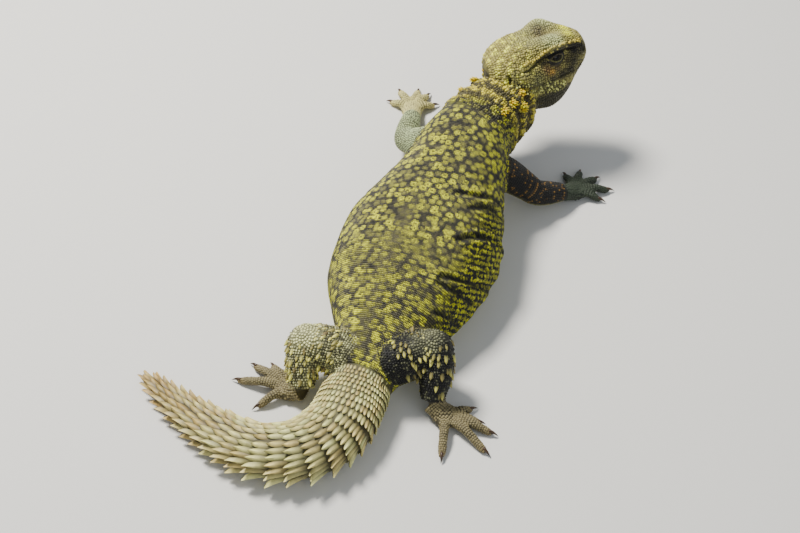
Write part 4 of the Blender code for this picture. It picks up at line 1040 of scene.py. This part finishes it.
places = lay_rows(head_surface, 0.6, len(HEAD) - 1.25, 1.3, 1.38, loose=0.3)
seated = seat(head_surface, places, len(HEAD) - 1, 1.8)
places[:, 2] = row_stretch(head_surface, places)
places, spots, outward, along, kept, where = with_cap(
    (places, *seated, unwrapped(places, 0, len(HEAD) - 1)), limit=1.25, radius=9.5,
    middle=to_body(np.array((0, 42.5, 0.5))), pole=head_turn @ (0, 1, 0), pitch=1.3, gap=0.95, reach=4.5)
local = to_head(spots)
one_side = folded(local)
over, turn = over_mouth(local)
kept &= (lid_angles(one_side, 1)[2] > 5.6) | (local[:, 1] < 20)
kept &= (np.abs(over) > 0.75) | (np.abs(turn) > 112)
kept &= (np.linalg.norm(one_side - nostril_at, axis=1) > 1.5) & (ear_oval(one_side, 1.2, 3.4) > 1)
kept &= ~jaw_part(spots)
colours = vary(head_markings(spots), 0.12)
on_brow = 1 - fade(to_line(one_side, BROW_EDGE)[0], 0.8, 2.0)
knobs = (draw.uniform(0, 1, len(places)) < 0.3) * (1 - fade(one_side[:, 1], 10, 24))
grown = 1 + 0.2 * on_brow + 0.35 * knobs
tall = draw.uniform(0.30, 0.45, len(places)) + 0.35 * knobs + 0.2 * on_brow
sizes = sizes_of(places, 0.54 * grown, 0.74 * grown * np.clip(places[:, 2], 1, 2.2), tall)
sizes *= draw.uniform(0.88, 1.12, (len(sizes), 1))
flat = kept & (one_side[:, 1] + 2.5 * wave_noise(spots, 6, 67) > 15 - 0.5 * one_side[:, 2])
for name, pattern, part in (("scales_head", PLATELET, flat), ("beads_head", HEAD_BEAD, kept & ~flat)):
    lay_scales(name, "head", pattern, (spots, outward, along, part), sizes, colours, where, lean=0.12)

places = lay_rows(head_surface, 0.9, len(HEAD) - 2.0, 0.9, 0.9, loose=0.5)
spots, outward, along, kept = seat(head_surface, places, len(HEAD) - 1, 1.8)
kept &= jaw_part(spots) & (np.abs(to_head(spots)[:, 2] - MOUTH_HEIGHT) > 1.0)
seated = spots, outward, along, thinned(spots, kept, JAW_GAP)
sizes = draw.uniform(0.66, 1.0, (len(places), 1)) * (1, 1, 0.95)
lay_scales("beads_jaw", "head", BEAD, seated, sizes, vary(head_markings(spots) * JAW_LIGHT, 0.12),
           unwrapped(places, 0, len(HEAD) - 1), under=None)

# Rows of granules round each eye, from the lids' rims outwards: how far out, and half a granule's width
LID_ROWS = ((1.16, 0.34), (1.36, 0.40), (1.62, 0.46), (1.92, 0.52), (2.25, 0.55))
roots, ways, fronts, sizes, colours, where = [], [], [], [], [], []
for side in (1, -1):
    for ring, (spread, bead) in enumerate(LID_ROWS):
        number = int(2 * math.pi * 3.0 * spread / (bead * 2.0))
        for k in range(number):
            turn = 2 * math.pi * (k + 0.5 * (ring % 2)) / number
            a = math.radians(OPENING_HALF * spread * math.cos(turn))
            u = math.radians(1 + 20 * spread * math.sin(turn))
            if abs(a) > 1.35:
                continue
            way = unit(LOOK * math.cos(a) * math.cos(u) + LID_ALONG * math.sin(a)
                       + LID_UP * math.sin(u) * math.cos(a))
            root, outward, _ = nearest_skin(to_body((EYE_AT + way * 4.9) * (side, 1, 1)))
            roots.append(root)
            ways.append(outward)
            fronts.append(unit(to_body(EYE_AT * (side, 1, 1)) - root))
            sizes.append((bead, bead, 0.24))
            # The upper rows, under the brow, are darker than the lower ones, and the outer rows darker still:
            # painted shade in the socket.
            upper = math.sin(turn) > 0.05
            tone = (128, 116, 86) if upper else (156, 150, 106)
            if ring > 1:
                tone = (40, 32, 22) if upper else (70, 60, 42)
            colours.append(paint(*tone) * draw.uniform(0.88, 1.12))
            where.append((0.1 + 0.8 * k / number, (0.1 if side > 0 else 0.55) + 0.08 * ring))
fronts = laid_flat(np.array(fronts), np.array(ways))
lay_scales("scales_lids", "head", GRANULE, (roots, ways, fronts, slice(None)), sizes, colours, where)


# The scales of the limbs. The arms carry fine granules, pale blue grey with dark bars on the left arm and
# dotted yellow on the right, on a ground painted nearly black as shade of the shadowed side. The hind legs
# carry beads, dark on the right leg and painted nearly black there with shade, and brown on the left, with
# pale conical scales that stand out of them and point down and back, dimmer on the right as painted shade.
# The right arm's and the right leg's grounds are painted darker than the left ones' as shade of the shadowed
# side.
LIMB_FINISH = {
    "arm_right": (paint(28, 25, 17), paint(160, 134, 70), 1.25),
    "arm_left": (paint(186, 188, 160), paint(100, 90, 62), 1.25),
    "leg_right": (paint(26, 22, 15), paint(168, 165, 138), 1.4),
    "leg_left": (paint(84, 73, 52), paint(218, 210, 178), 1.4),
}
KNEES = {"leg_right": (28, 12, 38), "leg_left": (-32, -6, 33)}
# Each leg's share of cones kept and their brightness, lower on the right leg as painted shade.
CONE_FINISH = {"leg_right": (0.48, 1.05), "leg_left": (0.64, 1.25)}
CONES_ALONG, CONE_PITCH = (0.9, 4.8), 3.1
# Bases at 0.2 are painted shade between the scales, and bead tips at 1.14 a painted highlight.
ARM_GRANULE = six_sided(GRANULE_RINGS, None, (0.2, 1.0))
LEG_BEAD = six_sided(BEAD_RINGS, BEAD_TIP, (0.2, 0.85, 1.14))

for limb, (ground, spot_tone, pitch) in LIMB_FINISH.items():
    surface, slot = limb_surfaces[limb], limb.replace("arm", "upper_arm").replace("leg", "thigh")
    places = lay_rows(surface, 0.3, 5.0, pitch, pitch * 1.04, loose=0.16)
    spots, outward, along, kept = seat(surface, places, 5, 2.0, 1)
    where = unwrapped(places, 0, 5) * (1, 0.8)
    if limb in KNEES:
        knee = np.array(KNEES[limb], float)
        kept &= np.linalg.norm(spots - knee, axis=1) > 8.0
        places, spots, outward, along, kept, where = with_cap(
            (places, spots, outward, along, kept, where), limit=1.5, middle=knee - (0, 0, 8.6), radius=9.4,
            pole=(0, 0, 1), pitch=1.75, gap=1.1, reach=4.0)
    bars, count = wave_noise(places[:, 2:4], 4.0, 41), len(places)
    if limb == "arm_left":
        share = fade(np.sin(places[:, 2] * 2.4 + 0.9 * bars), 0.1, 0.8) * 0.8
    elif limb == "arm_right":
        share = fade(np.sin(places[:, 2] * 1.6) + bars * 0.9, 0.4, 0.9) * (draw.uniform(0, 1, count) < 0.55)
    else:
        share = (1 - fade(np.linalg.norm(spots - knee, axis=1), 6, 12)) * draw.uniform(0.2, 0.9, count)
        share += fade(bars + draw.uniform(-0.7, 0.7, count), 0.2, 0.9) * 0.4
        share += draw.uniform(0.0, 0.6, count) * (limb == "leg_left")
    colours = vary(mix(ground, spot_tone, np.clip(share, 0, 1)), 0.14)
    # Undersides take the belly's pale tone, darkened to 0.7 as painted shade.
    colours = mix(colours, BELLY * 0.7, fade(-outward[:, 2], 0.3, 0.9))
    pattern, wide, heights = ARM_GRANULE, 0.49, (0.26, 0.36)
    if limb in KNEES:
        pattern, wide, heights = LEG_BEAD, 0.46, (0.35, 0.6)
    sizes = sizes_of(places, wide, places[:, 4] * wide, draw.uniform(*heights, count))
    lay_scales(f"scales_{limb}", slot, pattern, (spots, outward, along, kept), sizes, colours, where, lean=0.35)
    if limb in KNEES:
        share_kept, light = CONE_FINISH[limb]
        places = lay_rows(surface, *CONES_ALONG, CONE_PITCH, CONE_PITCH * 1.05, loose=0.3)
        spots, outward, along, kept = seat(surface, places, 5, 2.0, 1)
        kept &= (outward[:, 2] > -0.35) & (draw.uniform(0, 1, len(places)) < share_kept)
        ways = unit(outward * 0.6 + along * 0.3 + (0, -0.35, -0.5))
        near_knee = fade(np.linalg.norm(spots - knee, axis=1), 4, 11)
        long = draw.uniform(2.5, 3.7, (len(places), 1)) * (0.55 + 0.45 * near_knee)[:, None]
        tones = mix(paint(214, 204, 150), paint(150, 136, 98), draw.uniform(0, 1, len(places)))
        seated = spots - outward * 0.35, ways, unit(np.cross(ways, outward + 1e-3)), kept
        lay_scales(f"cones_{limb}", slot, SPINE, seated, long * (0.38, 0.38, 1), vary(tones, 0.1) * light,
                   unwrapped(places, 0, 5), under=None)


# Hands and feet. Small plates cover the palms and wrap each toe in close rings, tan, and a darker greenish
# grey on the right hand as painted shade, and each toe ends in a curved brown claw of horn.
# The right hand's darker greenish grey is painted shade of the shadowed side.
FOOT_TONES = {"hand_right": (90, 98, 74), "hand_left": (196, 189, 152), "foot_right": (160, 150, 120),
              "foot_left": (160, 150, 120)}
# For a toe and for a palm: the rows, how loose they are, the form's end and its reach, the sizes of a scale,
# its room on the map and how much browner it gets towards the tip
TOE = (0.2, 3.0, 1.25, 1.35), 0.08, 3, 0.9, (0.56, 0.82, 0.3), (0.18, 0.22), 0.6
PALM = (0.0, 2.0, 1.35, 1.4), 0.2, 2, 3.4, (0.6, 0.85, 0.32), (0.8, 0.03), 0.0


def foot_scales(surface, form, tone, cell):
    rows, loose, last, reach, shape, room, browning = form
    places = lay_rows(surface, *rows, loose=loose)
    seated = seat(surface, places, last, reach, 1)
    colours = vary(np.tile(paint(*tone), (len(places), 1)), 0.14)
    colours = mix(colours, colours * (1.1, 0.95, 0.8), fade(places[:, 0], 1.4, 3.0) * browning)
    where = np.array(cell) + (unwrapped(places, 0, last) - 0.5) * room
    return *seated, sizes_of(places, *shape), colours, where


gathered = []
for row, (foot, tone) in enumerate(FOOT_TONES.items()):
    for k in range(5):
        gathered.append(foot_scales(digits[f"{foot}_{k}"], TOE, tone, ((k + 0.5) / 5, row / 4 + 0.125)))
    gathered.append(foot_scales(palm_surfaces[foot], PALM, tone, (0.5, row / 4 + 0.02)))
*seated, sizes, colours, where = [np.concatenate(parts) for parts in zip(*gathered)]
lay_scales("scales_feet", "foot_right", PLATELET, seated, sizes, colours, where, lean=0.35)

UP = np.array((0.0, 0.0, 1.0))
claws = bmesh.new()
turns = np.linspace(0, 2 * math.pi, 12, endpoint=False)[:, None]
for root, tip, away in claw_paths:
    side = unit(np.cross(away, UP))
    rings = []
    for share in np.linspace(0, 1, 8):
        middle = root + (tip - root) * share + UP * 0.9 * math.sin(math.pi * share)
        radius = 1.2 * (1 - share) ** 0.75 + 0.06
        ring = middle + side * np.cos(turns) * radius * 0.8 + UP * np.sin(turns) * radius
        ring[:, 2] = np.maximum(ring[:, 2], 0.1)
        rings.append(ring)
    loft(claws, rings)
bmesh.ops.recalc_face_normals(claws, faces=claws.faces)
claws = add_object(claws, "claws")
claws.data.shade_smooth()
mark(claws.data, mix(paint(110, 84, 54), paint(48, 36, 26), fade(-read_points(claws.data)[:, 2], -2.6, -0.6)))
claws.data.materials.append(horn_material("claw_horn", 0.36, 1200, 0.3, 0.55))
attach(claws, "root")


# The tail. Whorls of horny shields ring it, close together at the root and wide apart behind, keeled along
# the top, drawn out and spread at the sides and small and flat below. They are cream to tan, with painted
# shade between them and under their fronts.
# The pitch of the whorls and the width of a shield change with the length from the root.
WHORL_PITCHES = [(0, 2.3), (12, 3.0), (24, 4.4), (38, 6.2), (60, 7.2), (110, 7.0), (150, 6.2), (175, 5.4)]
PLATE_WIDTHS = [(0, 1.7), (12, 1.9), (24, 2.4), (38, 3.2), (60, 3.7), (110, 3.5), (150, 3.1), (175, 2.6)]


def plate_pattern():
    """A keeled shield: square in front, widest in the middle, and drawn out to a point behind."""
    stations = ((0.0, 0.86, 0.10, -0.25), (0.25, 1.0, 0.36, -0.25), (0.55, 0.98, 0.68, -0.2),
                (0.76, 0.76, 0.92, -0.05), (0.9, 0.40, 1.1, 0.3), (1.0, 0.05, 1.22, 1.0))
    points, shade = [], []
    for y, half, top, under in stations:
        edge = under * 0.4 + top * 0.28
        points += [(-half, y, edge), (-half * 0.5, y, top * 0.66), (0, y, top), (half * 0.5, y, top * 0.66),
                   (half, y, edge), (half * 0.5, y, under), (-half * 0.5, y, under)]
        # The shield's tones are painted shade and light: dark in front, where the shield ahead lies over it,
        # darker at the edges and below, and lightest along the keel as a painted highlight.
        tone = 0.16 + 0.92 * min(1.0, y * 1.4)
        shade += [tone * part for part in (0.36, 0.86, 1.14, 0.86, 0.36, 0.3, 0.3)]
    faces = [(7 * j + 7 + k, 7 * j + 7 + (k + 1) % 7, 7 * j + (k + 1) % 7, 7 * j + k)
             for j in range(len(stations) - 1) for k in range(7)]
    return np.array(points), faces + [tuple(range(7)), tuple(range(41, 34, -1))], np.array(shade)


steps = np.linspace(0, len(TAIL) - 1, 241)
lengths = lengths_along(path(TAIL, steps))
TAN, CREAM, TAIL_BROWN = paint(190, 166, 114), paint(252, 230, 173), paint(176, 150, 92)
PLATES_SUNK = 0.15
places, sizes, tones = [], [], []
length, row = 1.0, 0
while length < lengths[-1] - 2.5:
    at = float(np.interp(length, lengths, steps))
    pitch, plate_width = [float(np.interp(length, *zip(*table))) for table in (WHORL_PITCHES, PLATE_WIDTHS)]
    half_width = float(monotone([station[3] for station in TAIL], at))
    grown = float(fade(length, 8, 55))
    arc = 2.95 * half_width * 1.08
    for top, span, centre in ((True, 216, 90), (False, 144, 270)):
        room = arc * span / 210
        number = max(4, round(room / plate_width)) if top else max(2, round(room / plate_width / 1.2))
        wide = 0.5 * room / number * 1.04
        for k in range(number):
            angle = math.radians(centre - span / 2 + span * (k + 0.5 + 0.25 * (row % 2)) / number)
            at_side = grown * abs(math.cos(angle)) ** 2
            reach, tall = pitch * 1.15, 0.6
            if top:
                reach = pitch * (1.30 + 0.12 * grown + 0.42 * at_side)
                tall = (0.75 + 0.75 * grown + 1.7 * at_side) * min(1.0, half_width / 10 + 0.35)
            places.append((at, angle + draw.normal(0, 0.008)))
            sizes.append((wide * draw.uniform(0.95, 1.04), reach * draw.uniform(0.95, 1.05),
                          tall * draw.uniform(0.88, 1.12)))
            pale = mix(TAN, CREAM, draw.uniform(0.4, 1.0))
            tones.append(mix(pale, TAIL_BROWN, 0.7 * fade(length, 45, 150)))
    length += pitch
    row += 1
places, tones = np.array(places), vary(np.array(tones), 0.09)
spots, outward, along, kept = seat(tail_surface, places, len(TAIL) - 1, 1.8, 1)
seated = spots - outward * PLATES_SUNK, outward, along, kept
# The skin under the shields takes their colours at 0.4, as painted shade beneath them.
tail_plates = lay_scales(
    "plates_tail", "tail_middle", plate_pattern(), seated, sizes, tones, unwrapped(places, 0, len(TAIL) - 1),
    lean=0.3, under=0.4, horn=horn_material("plate_horn", 0.50, 1500, 0.5, 0.66))
tail_plates.data.set_sharp_from_angle(angle=math.radians(50))


# Eyes. Each is a dark glossy ball, deep brown with a round black pupil, and sits low under the brow.
wet, tree, markings, place = marked_material("wet_eye")
fibres = add_node(tree, "TexNoise", {"Vector": place, "Scale": 1800})
set_sockets(tree, tree.nodes["Principled BSDF"], {
    "Base Color": darkened(tree, markings, fibres.outputs["Fac"], 0.5), "Roughness": 0.16,
    "Specular IOR Level": 0.2, "Coat Weight": 0.12, "Coat Roughness": 0.03})
for side, name in ((1, "right"), (-1, "left")):
    ball = bmesh.new()
    centre = to_body(EYE_AT * (side, 1, 1))
    bmesh.ops.create_uvsphere(ball, u_segments=96, v_segments=64, radius=EYE_RADIUS,
                              matrix=Matrix.Translation(Vector(centre)))
    eye = add_object(ball, f"eyeball_{name}")
    gaze = unit(np.array((side * 0.95, 0.22, 0.22)) @ head_turn.T)
    off = np.degrees(np.arccos(np.clip(unit(read_points(eye.data) - centre) @ gaze, -1, 1)))
    colours = mix(paint(12, 10, 8), paint(76, 56, 34), fade(off, 15, 18))
    mark(eye.data, mix(colours, paint(34, 24, 16), fade(off, 22, 28)))
    eye.data.shade_smooth()
    eye.data.materials.append(wet)
    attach(eye, "root")
    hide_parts(f"eye_{name}")


# The colours of the hide. The skin between the scales carries the same markings as they do, much darker as
# painted shade in the gaps: each of its points takes the mean of the three nearest scales.
SHADE_BETWEEN_SCALES = 0.28
coat_index, coat_colours = tree_of(np.concatenate(coat_spots)), np.concatenate(coat_colours)
near = np.array([[item[1] for item in coat_index.find_n(point, 3)] for point in skin_points])
mark(skin.data, coat_colours[near].mean(axis=1) * SHADE_BETWEEN_SCALES)


# The stand: a plain pale floor, soft studio lamps and the camera, above and behind the lizard's right hip.
CAMERA_AT, CAMERA_AIM, CAMERA_VIEW = (213.04, -474.26, 669.45), (-7.75, 62.36, 25.0), 28.0
LAMPS_AIM = (0, 0, 0.02)
floor_mesh = bmesh.new()
bmesh.ops.create_grid(floor_mesh, x_segments=2, y_segments=2, size=3.0)
mesh = bpy.data.meshes.new("floor")
floor_mesh.to_mesh(mesh)
floor_mesh.free()
floor = in_scene("floor", mesh)
floor.location.z = -0.0002
paper = bpy.data.materials.new("pale_paper")
paper.use_nodes = True
set_sockets(paper.node_tree, paper.node_tree.nodes["Principled BSDF"],
            {"Base Color": (0.72, 0.71, 0.68, 1), "Roughness": 0.85})
mesh.materials.append(paper)

world = bpy.data.worlds.new("studio")
bpy.context.scene.world = world
world.use_nodes = True
set_sockets(world.node_tree, world.node_tree.nodes["Background"],
            {"Color": (0.86, 0.92, 1.0, 1), "Strength": 0.37})


def soft_lamp(name, place, size, power, colour):
    lamp = bpy.data.lights.new(name, "AREA")
    lamp.size, lamp.energy, lamp.color = size, power, colour
    holder = in_scene(name, lamp)
    holder.location = place
    holder.rotation_euler = (Vector(LAMPS_AIM) - Vector(place)).to_track_quat("-Z", "Y").to_euler()


soft_lamp("key", (-0.62, 0.2, 1.1), 0.3, 33, (1.0, 0.97, 0.90))
soft_lamp("fill", (0.9, -0.6, 0.9), 0.9, 3.5, (0.9, 0.95, 1.0))
lens = bpy.data.cameras.new("camera")
lens.sensor_width, lens.lens, lens.clip_start = 36.0, 18.0 / math.tan(math.radians(CAMERA_VIEW / 2)), 0.01
camera = in_scene("camera", lens)
camera.location = (np.array(CAMERA_AT) + SHIFT) * MM
camera.rotation_euler = (Vector(CAMERA_AIM) - Vector(CAMERA_AT)).to_track_quat("-Z", "Y").to_euler()
bpy.context.scene.camera = camera
